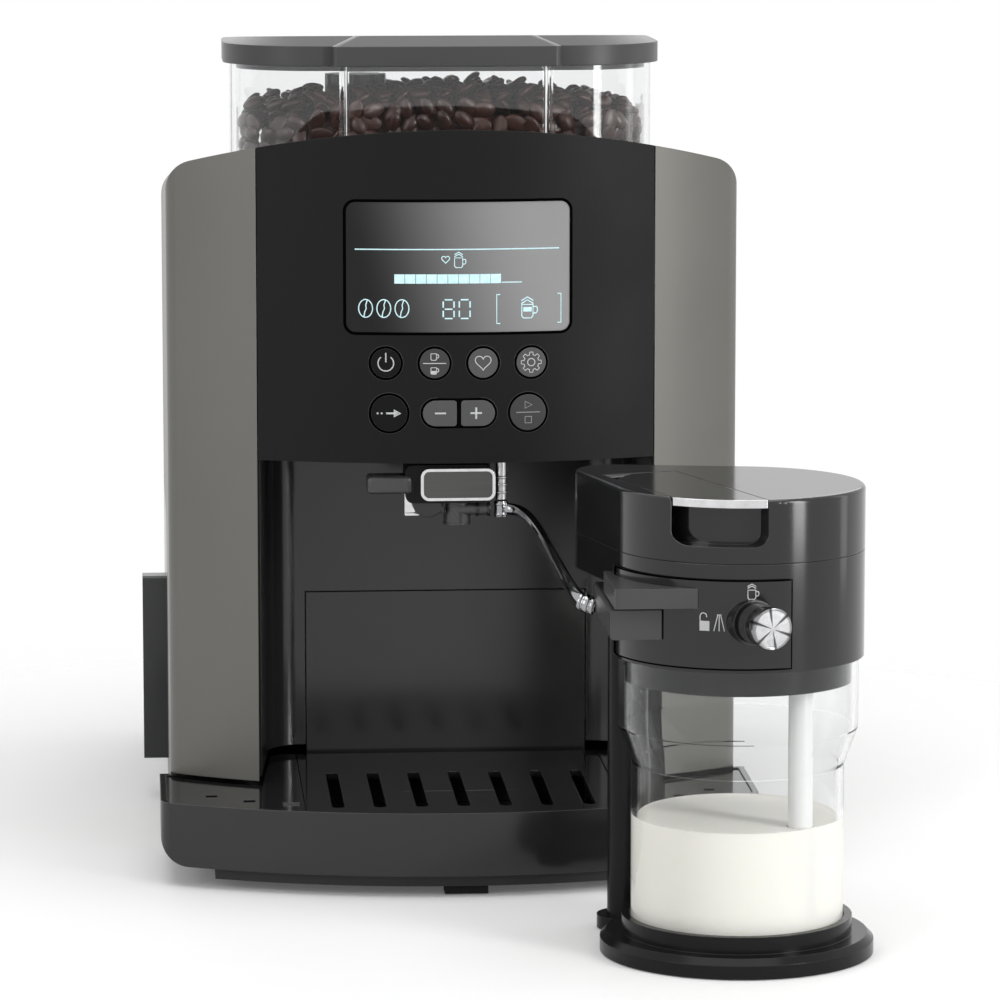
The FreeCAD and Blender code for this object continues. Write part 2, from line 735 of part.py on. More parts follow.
def loop_wires(grow, z):
    """Outline of the lid at one height."""
    face = hopper_plan(-grow, z, z + 1)
    for part_face in face.Faces:
        if part_face.BoundBox.ZLength < 1e-6 and abs(part_face.BoundBox.ZMin - z) < 1e-6:
            return part_face.OuterWire


def hopper_lid():
    band = hopper_plan(-LID_OVERHANG, LID_Z0, LID_BAND_Z1)
    low = loop_wires(LID_OVERHANG, LID_BAND_Z1)
    high = loop_wires(LID_OVERHANG - LID_BEVEL_W, LID_Z1)
    bevel = Part.makeLoft([low, high], True, True)
    ring_out = HOPPER_WALL + CLEAR
    skirt = hopper_plan(ring_out, LID_Z0 - LID_SKIRT_H, LID_Z0)
    lid = joined([band, bevel, skirt])
    lid = lid.cut(hopper_plan(ring_out + LID_SKIRT_T, 0, LID_BAND_Z1 - LID_TOP_T))
    crest_y = HOPPER_FRONT_Y - HOPPER_BULGE - LID_OVERHANG + LID_BEVEL_W
    return lid.cut(above_slope(crest_y, LID_Z1, LID_FALL))


def grinder_housing():
    """Housing with the fixed burr ring in its lower bore."""
    housing = post(GRIND_AT, HOUSING_R, HOUSING_Z0, HOUSING_Z1)
    leg_y = GRIND_AT[1] + HOUSING_R
    leg = slab(GRIND_AT[0] - HOUSING_LEG_W / 2, GRIND_AT[0] + HOUSING_LEG_W / 2, leg_y - HOUSING_LEG_T / 2,
               leg_y + HOUSING_LEG_T / 2, SHELF_Z + FRAME_T, HOUSING_Z0 + HOUSING_FLOOR_T)
    housing = joined([housing, leg])
    burr_z0 = HOUSING_Z0 + HOUSING_FLOOR_T
    housing = housing.cut(post(GRIND_AT, HOUSING_BORE_R - BURR_RING_T, burr_z0, FAR))
    housing = housing.cut(post(GRIND_AT, HOUSING_BORE_R, burr_z0 + BURR_RING_H, FAR))
    return housing.cut(post(GRIND_AT, SHAFT_R + RUNNING, 0, FAR))


def toothed_wheel(at, teeth, z0, z1, turn):
    """Straight-sided gear teeth about the pitch circle, with some backlash."""
    pitch_r = GEAR_MODULE * teeth / 2
    root_r = pitch_r - TOOTH_ROOT * GEAR_MODULE
    tip_r = pitch_r + TOOTH_TIP * GEAR_MODULE
    step = 2 * math.pi / teeth
    root_w = TOOTH_ROOT_W * step * pitch_r / root_r
    tip_w = TOOTH_TIP_W * step * pitch_r / tip_r
    points = []
    for index in range(teeth):
        middle = turn + index * step
        for radius, offset in ((root_r, -root_w), (tip_r, -tip_w), (tip_r, tip_w), (root_r, root_w)):
            angle = middle + offset
            points.append((at[0] + radius * math.cos(angle), at[1] + radius * math.sin(angle)))
    return prism(points, z0, z1)


GEAR_Z1 = HOUSING_Z0 - GEAR_DROP
GEAR_Z0 = GEAR_Z1 - GEAR_T
GEAR_CENTRES = GEAR_MODULE * (GEAR_TEETH + PINION_TEETH) / 2 + GEAR_BACKLASH
MOTOR_AT = (GRIND_AT[0] + GEAR_CENTRES, GRIND_AT[1])
MOTOR_Z1 = GEAR_Z0 - MOTOR_GAP


def grinding_burr():
    """Cone burr, its shaft and the gear under it."""
    gear = toothed_wheel(GRIND_AT, GEAR_TEETH, GEAR_Z0, GEAR_Z1, 0)
    burr_z0 = HOUSING_Z0 + HOUSING_FLOOR_T + SEAT
    burr_r = HOUSING_BORE_R - BURR_RING_T - BURR_GAP
    cone = Part.makeCone(burr_r, burr_r - BURR_TAPER, BURR_RING_H, V(GRIND_AT[0], GRIND_AT[1], burr_z0))
    shaft = post(GRIND_AT, SHAFT_R, GEAR_Z0, burr_z0)
    return joined([gear, shaft, cone])


def motor_pinion():
    pinion = toothed_wheel(MOTOR_AT, PINION_TEETH, GEAR_Z0, GEAR_Z1, math.pi + math.pi / PINION_TEETH)
    shaft = post(MOTOR_AT, MOTOR_SHAFT_R, MOTOR_Z1 - MOTOR_SOCKET + SEAT, GEAR_Z1)
    return joined([pinion, shaft])


def bracket(at):
    """Block that ties an upright piece to the frame behind it."""
    x, y, z = at
    return slab(x - BRACKET_HALF_W, x + BRACKET_HALF_W, y, FRAME_Y, z, z + BRACKET_H)


def grinder_motor():
    z0 = MOTOR_Z1 - MOTOR_H
    motor = joined([post(MOTOR_AT, MOTOR_R, z0, MOTOR_Z1), bracket((MOTOR_AT[0], MOTOR_AT[1], z0))])
    return motor.cut(post(MOTOR_AT, MOTOR_SHAFT_R + RUNNING, MOTOR_Z1 - MOTOR_SOCKET, FAR))


def brew_chamber():
    chamber = joined([post(BREW_AT, BREW_R, BREW_Z0, BREW_Z0 + BREW_H), bracket((BREW_AT[0], BREW_AT[1], BREW_Z0))])
    return chamber.cut(post(BREW_AT, BREW_BORE_R, BREW_Z0 + BREW_FLOOR_T, FAR))


def brew_piston():
    z1 = BREW_Z0 + BREW_H
    head = post(BREW_AT, BREW_BORE_R - RUNNING, z1 - PISTON_T, z1)
    return joined([head, post(BREW_AT, PISTON_ROD_R, z1, z1 + PISTON_ROD_L)])


def inner_frame():
    wall = slab(-FRAME_HALF_W, FRAME_HALF_W, FRAME_Y, FRAME_Y + FRAME_T, BASE_TOP_Z, FRAME_TOP_Z)
    shelf = slab(-FRAME_HALF_W, FRAME_HALF_W, FRAME_Y, SHELF_BACK_Y, SHELF_Z, SHELF_Z + FRAME_T)
    return joined([wall, shelf])


def heater_block():
    z0 = SHELF_Z + FRAME_T
    block = slab(HEATER_X0, HEATER_X1, HEATER_Y0, HEATER_Y1, z0, z0 + HEATER_H)
    pitch = (HEATER_Y1 - HEATER_Y0 - FIN_T) / (FIN_COUNT - 1)
    fins = []
    for index in range(FIN_COUNT):
        y = HEATER_Y0 + index * pitch
        fins.append(slab(HEATER_X0, HEATER_X1, y, y + FIN_T, z0 + HEATER_H, z0 + HEATER_H + FIN_H))
    return joined([block] + fins)


def water_pump():
    axis_z = BASE_TOP_Z + PUMP_FOOT_H + PUMP_R
    can = rod_y(PUMP_X, axis_z, PUMP_R, PUMP_Y0, PUMP_Y0 + PUMP_L)
    nose = rod_y(PUMP_X, axis_z, PUMP_NOSE_R, PUMP_Y0 - PUMP_NOSE_L, PUMP_Y0)
    cradle = slab(PUMP_X - PUMP_CRADLE_HALF_W, PUMP_X + PUMP_CRADLE_HALF_W, PUMP_Y0, PUMP_Y0 + PUMP_L, BASE_TOP_Z, axis_z)
    return joined([can, nose, cradle])


def power_board():
    return slab(POWER_BOARD_X, POWER_BOARD_X + POWER_BOARD_T, POWER_BOARD_Y0, POWER_BOARD_Y1,
                BASE_TOP_Z, BASE_TOP_Z + POWER_BOARD_H)


def tank_solid(inset, z0, z1):
    return slab(-BODY_HALF_W + inset, TANK_X1 - inset, TANK_Y0 + inset, TANK_Y1 - inset, z0, z1)


def water_tank():
    z0 = BASE_TOP_Z + CLEAR
    tank = rounded(tank_solid(0, z0, TANK_TOP_Z), TANK_CORNER_R, V(1, 0, 0))
    tank = tank.cut(tank_solid(TANK_WALL, z0 + TANK_WALL, TANK_TOP_Z - TANK_CORNER_R))
    mouth = tank_solid(TANK_CORNER_R + TANK_LID_LIP, z0 + TANK_WALL, FAR)
    rebate = tank_solid(TANK_CORNER_R, TANK_TOP_Z - TANK_LID_T, FAR)
    grip = slab(-BODY_HALF_W - GRIP_W, -BODY_HALF_W + TANK_WALL / 2, GRIP_Y0, GRIP_Y1, GRIP_Z0, GRIP_Z1)
    grip = rounded(grip, GRIP_R, V(1, 0, 0))
    valve = rod((TANK_X1, VALVE_Y, VALVE_Z), (TANK_X1 + VALVE_L, VALVE_Y, VALVE_Z), VALVE_R)
    return joined([tank.cut(mouth).cut(rebate), grip, valve])


def tank_lid():
    """Plate sunk flush into the tank's top, with a plug in its mouth."""
    seat_z = TANK_TOP_Z - TANK_LID_T
    plate = tank_solid(TANK_CORNER_R + CLEAR, seat_z, TANK_TOP_Z)
    plug = tank_solid(TANK_CORNER_R + TANK_LID_LIP + CLEAR, TANK_TOP_Z - TANK_CORNER_R, seat_z)
    return joined([plate, plug])


def tank_dock():
    """Socket on the base that the tank's valve enters."""
    x0 = TANK_X1 + DOCK_GAP
    dock = slab(x0, x0 + DOCK_L, VALVE_Y - DOCK_HALF_W, VALVE_Y + DOCK_HALF_W, BASE_TOP_Z,
                VALVE_Z + VALVE_R + DOCK_WALL)
    return dock.cut(rod((x0, VALVE_Y, VALVE_Z), (x0 + DOCK_L - DOCK_WALL, VALVE_Y, VALVE_Z), VALVE_R + CLEAR))


def tray_front(inset, z0, z1):
    """Front bowl of the tray, with toes rounded at both ends."""
    half_w = TRAY_HALF_W - inset
    bowl = bowed_plan(TRAY_R - inset, half_w, TRAY_BACK_Y - inset, z0, z1)
    bowl = rounded(bowl, TRAY_CORNER_R - inset, V(0, 0, 1), lambda p: p.y < TRAY_BACK_Y - inset - 1)
    trough = slab(-half_w, half_w, -FAR, FAR, z0, FAR)
    trough = rounded(trough, TRAY_TOE_R - inset, V(0, 1, 0), lambda p: p.z < z0 + 1)
    return bowl.common(trough)


def drip_tray():
    outer = joined([
        tray_front(0, TRAY_Z0, TRAY_RIM_Z),
        slab(-BOX_HALF_W, BOX_HALF_W, TRAY_BACK_Y - TRAY_CORNER_R, BOX_BACK_Y, TRAY_Z0, TRAY_RIM_Z),
    ])
    box_w = BOX_HALF_W - TRAY_WALL
    inner = joined([
        tray_front(TRAY_WALL, TRAY_FLOOR_Z, FAR),
        slab(-box_w, box_w, TRAY_BACK_Y - 2 * TRAY_CORNER_R, BOX_BACK_Y - TRAY_WALL, TRAY_FLOOR_Z, FAR),
    ])
    ledge_z1 = GRID_Z0 - SEAT
    ledge = tray_front(TRAY_WALL / 2, TRAY_Z0, FAR).cut(tray_front(TRAY_WALL + LEDGE_W, 0, FAR))
    ledge = ledge.common(slab(-FAR, FAR, -FAR, TRAY_BACK_Y - TRAY_REACH / 2, ledge_z1 - LEDGE_T, ledge_z1))
    return joined([outer.cut(inner), ledge, tray_deck()])


def deck_sheet(edge):
    """Whole top of the tray as one sheet: a crescent ahead of the case and a tongue into the cup bay."""
    sheet = tray_front(edge, TRAY_Z0, FAR).common(slab(-FAR, FAR, -FAR, FAR, GRID_Z0, GRID_Z1))
    crescent = sheet.cut(drum(FRONT_R + DECK_GAP))
    tongue = bay_space(-CLEAR, GRID_Z0, GRID_Z1)
    tongue = tongue.common(slab(-FAR, FAR, BODY_FRONT_Y, GRID_BACK_Y, GRID_Z0, GRID_Z1))
    return joined([crescent, tongue.common(drum(FRONT_R + DECK_GAP + DECK_LAP))])


def tray_deck():
    """Fixed ends of the tray's top, with square drain holes and a lip that carries the grid."""
    deck = deck_sheet(TRAY_WALL / 2).cut(slab(-GRID_HALF_W - CLEAR, GRID_HALF_W + CLEAR, -FAR, FAR, 0, FAR))
    lip_z1 = GRID_Z0 - SEAT
    lips = []
    for side in (-1, 1):
        inner = side * (GRID_HALF_W - GRID_LIP)
        edge = side * (GRID_HALF_W + CLEAR)
        outer = side * (GRID_HALF_W + GRID_LIP)
        y1 = SLOT_Y0 - SLOT_W
        lips.append(slab(min(inner, outer), max(inner, outer), y1, GRID_BACK_Y, lip_z1 - LEDGE_T, lip_z1))
        lips.append(slab(min(edge, outer), max(edge, outer), y1, GRID_BACK_Y, lip_z1 - LEDGE_T, GRID_Z1))
    deck = joined([deck] + lips)
    squares = [(HOLE_BIG_AT, HOLE_BIG)] + [(at, HOLE_SMALL) for at in HOLE_SMALL_AT]
    for at, size in squares:
        for x in (-at[0], at[0]):
            deck = deck.cut(slab(x - size / 2, x + size / 2, at[1] - size / 2, at[1] + size / 2, TRAY_FLOOR_Z, FAR))
    return deck


def drip_grid():
    grid = deck_sheet(TRAY_WALL + CLEAR).common(slab(-GRID_HALF_W, GRID_HALF_W, -FAR, FAR, 0, FAR))
    for index in range(SLOT_COUNT):
        x = (index - (SLOT_COUNT - 1) / 2) * SLOT_PITCH
        slot = slab(x - SLOT_W / 2, x + SLOT_W / 2, SLOT_Y0, SLOT_Y1, 0, FAR)
        grid = grid.cut(rounded(slot, SLOT_W * NEARLY_ROUND, V(0, 0, 1)))
    return grid


def tray_float():
    half = HOLE_BIG / 2 - CLEAR
    x = -HOLE_BIG_AT[0]
    y = HOLE_BIG_AT[1]
    stalk = slab(x - half, x + half, y - half, y + half, TRAY_FLOOR_Z + SEAT, GRID_Z1)
    wide = half + FLOAT_SKIRT
    skirt = slab(x - wide, x + wide, y - wide, y + wide, TRAY_FLOOR_Z + SEAT, TRAY_FLOOR_Z + SEAT + FLOAT_SKIRT_T)
    return joined([stalk, skirt])


def grounds_bin():
    bin_box = slab(-BIN_HALF_W, BIN_HALF_W, BAY_BACK_Y, BIN_BACK_Y, TRAY_FLOOR_Z, BIN_TOP_Z)
    return bin_box.cut(slab(-BIN_HALF_W + BIN_WALL, BIN_HALF_W - BIN_WALL, BAY_BACK_Y + BIN_WALL,
                            BIN_BACK_Y - BIN_WALL, TRAY_FLOOR_Z + BIN_WALL, FAR))


def spout_carriage():
    """Sliding block of the spout, with its mast and the finger lever at its left."""
    block = plate_xz(SPOUT_X0, SPOUT_X1, SPOUT_Z0, SPOUT_Z1, SPOUT_R, SPOUT_FRONT_Y + BADGE_T, SPOUT_BACK_Y)
    mast = mast_solid(0, SPOUT_Z1 - SPOUT_R, SPOUT_Z1 + MAST_H)
    lever = slab(LEVER_X0, SPOUT_X0 + SPOUT_R, LEVER_Y0, LEVER_Y1, LEVER_Z0, LEVER_Z1)
    lever = rounded(lever, LEVER_R, V(0, 1, 0), lambda p: p.x < LEVER_X0 + 1)
    return joined([block, mast, lever])


def badge_block(inset, y0, y1):
    return plate_xz(-BADGE_HALF_W + inset, BADGE_HALF_W - inset, BADGE_Z0 + inset, BADGE_Z1 - inset,
                    BADGE_R - inset, y0, y1)


def badge_frame():
    frame = badge_block(0, SPOUT_FRONT_Y, SPOUT_FRONT_Y + BADGE_T)
    return frame.cut(badge_block(BADGE_RIM, SPOUT_FRONT_Y - 1, SPOUT_FRONT_Y + BADGE_PLATE_T))


def badge_plate():
    return badge_block(BADGE_RIM, SPOUT_FRONT_Y + BADGE_RIM / 4, SPOUT_FRONT_Y + BADGE_PLATE_T)


def coffee_outlet():
    outlet = post(OUTLET_AT, OUTLET_R, OUTLET_Z0, SPOUT_Z0)
    sleeve_z = SPOUT_Z0 - SLEEVE_DROP
    sleeve = rod((OUTLET_AT[0], NOZZLE_AT[1], sleeve_z), (SPOUT_X1, NOZZLE_AT[1], sleeve_z), SLEEVE_R)
    outlet = joined([outlet, sleeve])
    for x in (-OUTLET_BORE_X, OUTLET_BORE_X):
        outlet = outlet.cut(post((OUTLET_AT[0] + x, OUTLET_AT[1]), OUTLET_BORE_R, 0, SPOUT_Z0 - SLEEVE_DROP / 2))
    return outlet


def steam_nozzle():
    top = CEILING_Z + BAY_WALL
    body = post(NOZZLE_AT, NOZZLE_R, NOZZLE_TIP_Z, top)
    flange = post(NOZZLE_AT, NOZZLE_FLANGE_R, top, top + NOZZLE_FLANGE_T)
    rings = []
    for index in range(NOZZLE_RINGS):
        z = NOZZLE_TIP_Z + (index + 1) * NOZZLE_RING_PITCH
        rings.append(Part.makeTorus(NOZZLE_R, NOZZLE_RING_R, V(NOZZLE_AT[0], NOZZLE_AT[1], z)))
    return joined([body, flange] + rings)


def bent_path(points, bends):
    """Straight runs joined by tangent arcs."""
    spots = [V(*point) for point in points]
    edges = []
    start = spots[0]
    for corner, before, after, radius in zip(spots[1:-1], spots[:-2], spots[2:], bends):
        arrive = (corner - before).normalize()
        leave = (after - corner).normalize()
        half = arrive.getAngle(leave) / 2
        reach = radius * math.tan(half)
        begin = corner - arrive * reach
        end = corner + leave * reach
        inward = (leave - arrive).normalize()
        middle = corner + inward * (radius / math.cos(half) - radius)
        edges.append(Part.makeLine(start, begin))
        edges.append(Part.Arc(begin, middle, end).toShape())
        start = end
    edges.append(Part.makeLine(start, spots[-1]))
    return Part.Wire(edges)


def swept_tube(points, bends, radius):
    path = bent_path(points, bends)
    first = V(*points[0])
    run = V(*points[1]) - first
    profile = Part.Wire([Part.makeCircle(radius, first, run)])
    return path.makePipeShell([profile], True, False)


def ferrule_ends():
    last = V(*TUBE_ROUTE[-1])
    run = (last - V(*TUBE_ROUTE[-2])).normalize()
    return last - run * FERRULE_L, last


def milk_tube():
    """Bent tube with its elbow under the nozzle and its ferrule against the duct."""
    start, end = ferrule_ends()
    ferrule = rod(tuple(start), tuple(end), FERRULE_R)
    elbow = post(NOZZLE_AT, ELBOW_R, ELBOW_Z0, NOZZLE_TIP_Z - CLEAR)
    tube = joined([swept_tube(TUBE_ROUTE, TUBE_BENDS, TUBE_R), ferrule, elbow])
    return tube.cut(slab(DUCT_X0 - CLEAR, FAR, -FAR, FAR, -FAR, FAR))


def pear(radius, lobe_radius, z0, z1):
    """Round head with a lobe towards the machine, as two circles and their tangents."""
    reach = V(LOBE_AT[0] - CARAFE_AT[0], LOBE_AT[1] - CARAFE_AT[1], 0)
    facing = math.atan2(reach.y, reach.x)
    lean = math.acos((radius - lobe_radius) / reach.Length)
    corners = []
    for centre, size, sign in ((CARAFE_AT, radius, 1), (LOBE_AT, lobe_radius, 1),
                               (LOBE_AT, lobe_radius, -1), (CARAFE_AT, radius, -1)):
        angle = facing + sign * lean
        corners.append((centre[0] + size * math.cos(angle), centre[1] + size * math.sin(angle)))
    return joined([post(CARAFE_AT, radius, z0, z1), post(LOBE_AT, lobe_radius, z0, z1), prism(corners, z0, z1)])


def carafe_base():
    plate = post(CARAFE_AT, CARAFE_BASE_R, 0, CARAFE_BASE_H)
    plate = plate.makeChamfer(CARAFE_BEVEL, [edge for edge in plate.Edges if edge.BoundBox.ZMin > CARAFE_BASE_H - 0.1])
    foot = post(SPINE_AT, SPINE_FOOT_R, 0, CARAFE_BASE_H - CARAFE_BEVEL)
    ring = post(CARAFE_AT, JUG_LOW_R + CLEAR + CARAFE_RING_T, 0, CARAFE_BASE_H + CARAFE_RING_H)
    ring = ring.cut(post(CARAFE_AT, JUG_LOW_R + CLEAR, CARAFE_BASE_H, FAR))
    return joined([plate, foot, ring])


def turned(profile):
    """Solid of revolution about the carafe's axis from (radius, height) points."""
    x, y = CARAFE_AT
    points = [V(x + radius, y, z) for radius, z in profile]
    face = Part.Face(Part.makePolygon(points + [points[0]]))
    return face.revolve(V(x, y, 0), V(0, 0, 1), 360)


def milk_jug():
    low_in = JUG_LOW_R - JUG_WALL
    high_in = JUG_HIGH_R - JUG_WALL
    floor_z = CARAFE_BASE_H + JUG_FLOOR_T
    return turned([
        (0, CARAFE_BASE_H), (JUG_LOW_R, CARAFE_BASE_H), (JUG_LOW_R, JUG_STEP_Z0), (JUG_HIGH_R, JUG_STEP_Z1),
        (JUG_HIGH_R, JUG_RIM_Z), (high_in, JUG_RIM_Z), (high_in, JUG_STEP_Z1), (low_in, JUG_STEP_Z0),
        (low_in, floor_z), (0, floor_z),
    ])


def milk_fill():
    floor_z = CARAFE_BASE_H + JUG_FLOOR_T
    milk = post(CARAFE_AT, JUG_LOW_R - JUG_WALL - MILK_GAP, floor_z, MILK_TOP_Z)
    return milk.cut(post(SUCTION_AT, SUCTION_R + CLEAR, SUCTION_Z0 - CLEAR, FAR))


def carafe_spine():
    spine = post(SPINE_AT, SPINE_R, CARAFE_BASE_H - CARAFE_BEVEL, LOBE_Z0 - CLEAR)
    return spine.cut(carafe_base())


def carafe_head():
    neck_r = JUG_HIGH_R - JUG_WALL - CLEAR
    floor_z = JUG_RIM_Z - NECK_DEPTH
    barrel = post(CARAFE_AT, HEAD_R, HEAD_Z0, HEAD_Z1)
    neck = post(CARAFE_AT, neck_r, floor_z, HEAD_Z0)
    lobe = pear(HEAD_R, LOBE_R, LOBE_Z0, HEAD_Z1)
    head = joined([barrel, neck, lobe])
    head = head.cut(post(CARAFE_AT, neck_r - HEAD_WALL, floor_z + NECK_FLOOR_T, FAR))
    head = head.cut(post(CARAFE_AT, HEAD_DRAIN_R, 0, FAR))
    return head.cut(milk_duct()).cut(froth_boss_bore())


def flap_point(back, right, z):
    angle = math.radians(FLAP_DEG)
    x = FLAP_AT[0] - math.sin(angle) * back + math.cos(angle) * right
    y = FLAP_AT[1] + math.cos(angle) * back + math.sin(angle) * right
    return V(x, y, z)


def flap_box(back0, back1, right0, right1, z0, z1):
    corners = ((back0, right0), (back0, right1), (back1, right1), (back1, right0))
    return prism([tuple(flap_point(back, right, 0))[:2] for back, right in corners], z0, z1)


FLAP_Z1 = COVER_Z1
FLAP_Z0 = COVER_Z1 - FLAP_T
HINGE_R = FLAP_T / 2
HINGE_Z = COVER_Z1 - HINGE_R
FLAP_FRONT = -FLAP_HALF_W


def head_cover():
    z0 = HEAD_Z1 + SEAT
    cover = pear(HEAD_R, LOBE_R, z0, COVER_Z1)
    top_edges = [edge for edge in cover.Edges if edge.BoundBox.ZMin > COVER_Z1 - 0.1]
    cover = cover.makeFillet(COVER_EDGE_R, top_edges)
    cover = cover.cut(post(CARAFE_AT, HEAD_R - COVER_WALL, 0, COVER_Z1 - COVER_TOP_T))
    wide = FLAP_HALF_W + CLEAR
    pocket = flap_box(FLAP_FRONT, FLAP_L + HINGE_R + CLEAR, -wide, wide, FLAP_Z0 - CLEAR, FAR)
    fill_w = FLAP_HALF_W - FLAP_FILL_RIM
    fill = flap_box(FLAP_FILL_FRONT, FLAP_FILL_BACK, -fill_w, fill_w, HEAD_Z1, FAR)
    finger_back = FLAP_FILL_FRONT - COVER_WALL
    finger = flap_box(FLAP_FRONT, finger_back, -wide, wide, FINGER_Z0, FAR)
    finger = rounded(finger, FINGER_R, flap_point(1, 0, 0) - flap_point(0, 0, 0), lambda p: p.z < FINGER_Z0 + FINGER_R)
    finger = finger.cut(post(CARAFE_AT, HEAD_R - FINGER_DEPTH, 0, FAR))
    bridge = pear(HEAD_R, LOBE_R, 0, FAR).cut(post(CARAFE_AT, HEAD_R - FINGER_DEPTH - COVER_WALL, 0, FAR))
    bridge = bridge.common(flap_box(FLAP_FRONT, FLAP_FILL_FRONT, -wide - COVER_WALL, wide + COVER_WALL, z0, FLAP_Z0))
    cover = joined([cover, bridge.common(post(CARAFE_AT, HEAD_R, z0, FLAP_Z0))])
    return cover.cut(pocket).cut(fill).cut(finger)


def lid_flap():
    leaf = flap_box(FLAP_FRONT, FLAP_L, -FLAP_HALF_W, FLAP_HALF_W, FLAP_Z0, FLAP_Z1)
    leaf = leaf.common(post(CARAFE_AT, HEAD_R - FLAP_EDGE_T, 0, FAR))
    ends = [flap_point(FLAP_L, side * FLAP_HALF_W, HINGE_Z) for side in (-1, 1)]
    return joined([leaf, rod(tuple(ends[0]), tuple(ends[1]), HINGE_R)])


def flap_edge():
    edge = post(CARAFE_AT, HEAD_R, FLAP_Z1 - FLAP_EDGE_H, FLAP_Z1).cut(post(CARAFE_AT, HEAD_R - FLAP_EDGE_T, 0, FAR))
    return edge.common(flap_box(FLAP_FRONT, FLAP_HALF_W * 2, -FLAP_HALF_W, FLAP_HALF_W, 0, FAR)).common(
        slab(-FAR, FAR, -FAR, CARAFE_AT[1], 0, FAR))


def froth_point(forward):
    angle = math.radians(FROTH_DEG)
    x, y, z = FROTH_AT
    return (x + math.sin(angle) * forward, y - math.cos(angle) * forward, z)


def froth_boss_bore():
    return rod(froth_point(-FROTH_PIN_L), froth_point(FROTH_BOSS_L), FROTH_PIN_R + RUNNING)


def control_plate():
    """Curved plate on the front of the head, with the boss of the froth knob."""
    arc = post(CARAFE_AT, HEAD_R + PLATE_T, PLATE_Z0, PLATE_Z1).cut(post(CARAFE_AT, HEAD_R, 0, FAR))
    fan = [CARAFE_AT]
    for index in range(PLATE_STEPS + 1):
        angle = math.radians(PLATE_LEFT_DEG + (PLATE_RIGHT_DEG - PLATE_LEFT_DEG) * index / PLATE_STEPS)
        fan.append((CARAFE_AT[0] + FAR * math.sin(angle), CARAFE_AT[1] - FAR * math.cos(angle)))
    plate = arc.common(prism(fan, PLATE_Z0, PLATE_Z1))
    boss = rod(froth_point(-FROTH_PIN_L), froth_point(FROTH_BOSS_L), FROTH_BOSS_R)
    boss = boss.cut(post(CARAFE_AT, HEAD_R, 0, FAR))
    plate = joined([plate, boss])
    plate = plate.cut(pear(HEAD_R, LOBE_R, LOBE_Z0, HEAD_Z1))
    return plate.cut(milk_duct()).cut(froth_boss_bore())


def froth_knob():
    stem = rod(froth_point(FROTH_BOSS_L + CLEAR), froth_point(FROTH_BOSS_L + CLEAR + FROTH_L), FROTH_R)
    pin = rod(froth_point(-FROTH_PIN_L + CLEAR), froth_point(FROTH_BOSS_L + CLEAR), FROTH_PIN_R)
    return joined([stem, pin])


def knob_cap():
    start = FROTH_BOSS_L + CLEAR + FROTH_L
    return rod(froth_point(start), froth_point(start + FROTH_CAP_L), FROTH_CAP_R)


def duct_block():
    block = slab(DUCT_X0, DUCT_X1, DUCT_Y0, DUCT_Y1, DUCT_Z0, DUCT_Z1)
    block = rounded(block, DUCT_R, V(0, 1, 0), lambda p: p.x < DUCT_X0 + 1)
    return block


def duct_bar():
    bar = slab(BAR_X0, BAR_X1, BAR_Y0, CARAFE_AT[1], BAR_Z0, BAR_Z1)
    bar = rounded(bar, BAR_R, V(0, 0, 1), lambda p: p.x < BAR_X0 + 1 and p.y < BAR_Y0 + 1)
    return bar


def milk_duct():
    """Duct that takes the tube's end and leads the milk into the head, with the bar above it."""
    end = V(*TUBE_ROUTE[-1])
    web = slab(BAR_X0 + BAR_R, DUCT_X1, DUCT_Y0 + BAR_R, CARAFE_AT[1], DUCT_Z1, BAR_Z0)
    block = joined([duct_block(), web, duct_bar()]).cut(post(CARAFE_AT, HEAD_R - HEAD_WALL / 2, 0, FAR))
    bore_z = end.z + DUCT_BORE_RISE
    return block.cut(rod((DUCT_X0 - CLEAR, end.y, bore_z), ((DUCT_X0 + DUCT_X1) / 2, end.y, bore_z), DUCT_BORE_R))


def suction_tube():
    top = JUG_RIM_Z - NECK_DEPTH
    return post(SUCTION_AT, SUCTION_R, SUCTION_Z0, top).cut(post(SUCTION_AT, SUCTION_BORE_R, 0, FAR))


PIECES = [
    base_pan, rubber_feet, inner_frame, left_side_panel, right_side_panel, front_panel, bay_liner, top_cover,
    rear_panel, case_screws, power_inlet, display_window, display_module, control_board, bean_hopper, hopper_lid,
    coffee_beans, grind_knob, grinder_housing, grinding_burr, motor_pinion, grinder_motor, brew_chamber,
    brew_piston, heater_block, water_pump, power_board, water_tank, tank_lid, drip_tray,
    drip_grid, tray_float, grounds_bin, spout_carriage, badge_frame, badge_plate, coffee_outlet,
    steam_nozzle, milk_tube, carafe_base, milk_jug, milk_fill, carafe_spine, carafe_head, head_cover,
    lid_flap, flap_edge, control_plate, froth_knob, knob_cap, milk_duct, suction_tube,
]


def save(name, shape):
    print(name, "valid" if shape.isValid() else "NOT VALID", len(shape.Solids), round(shape.Volume))
    shape.exportStep("parts/" + name + ".step")


os.makedirs("parts", exist_ok=True)
for piece in PIECES:
    save(piece.__name__, piece())
for name, kind, x, z in BUTTONS:
    save(name, button(kind, x, z))
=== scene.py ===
"""Looks of the bean-to-cup coffee machine with its milk carafe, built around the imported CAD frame."""
import math
import random

import bpy
from mathutils import Euler, Matrix, Vector


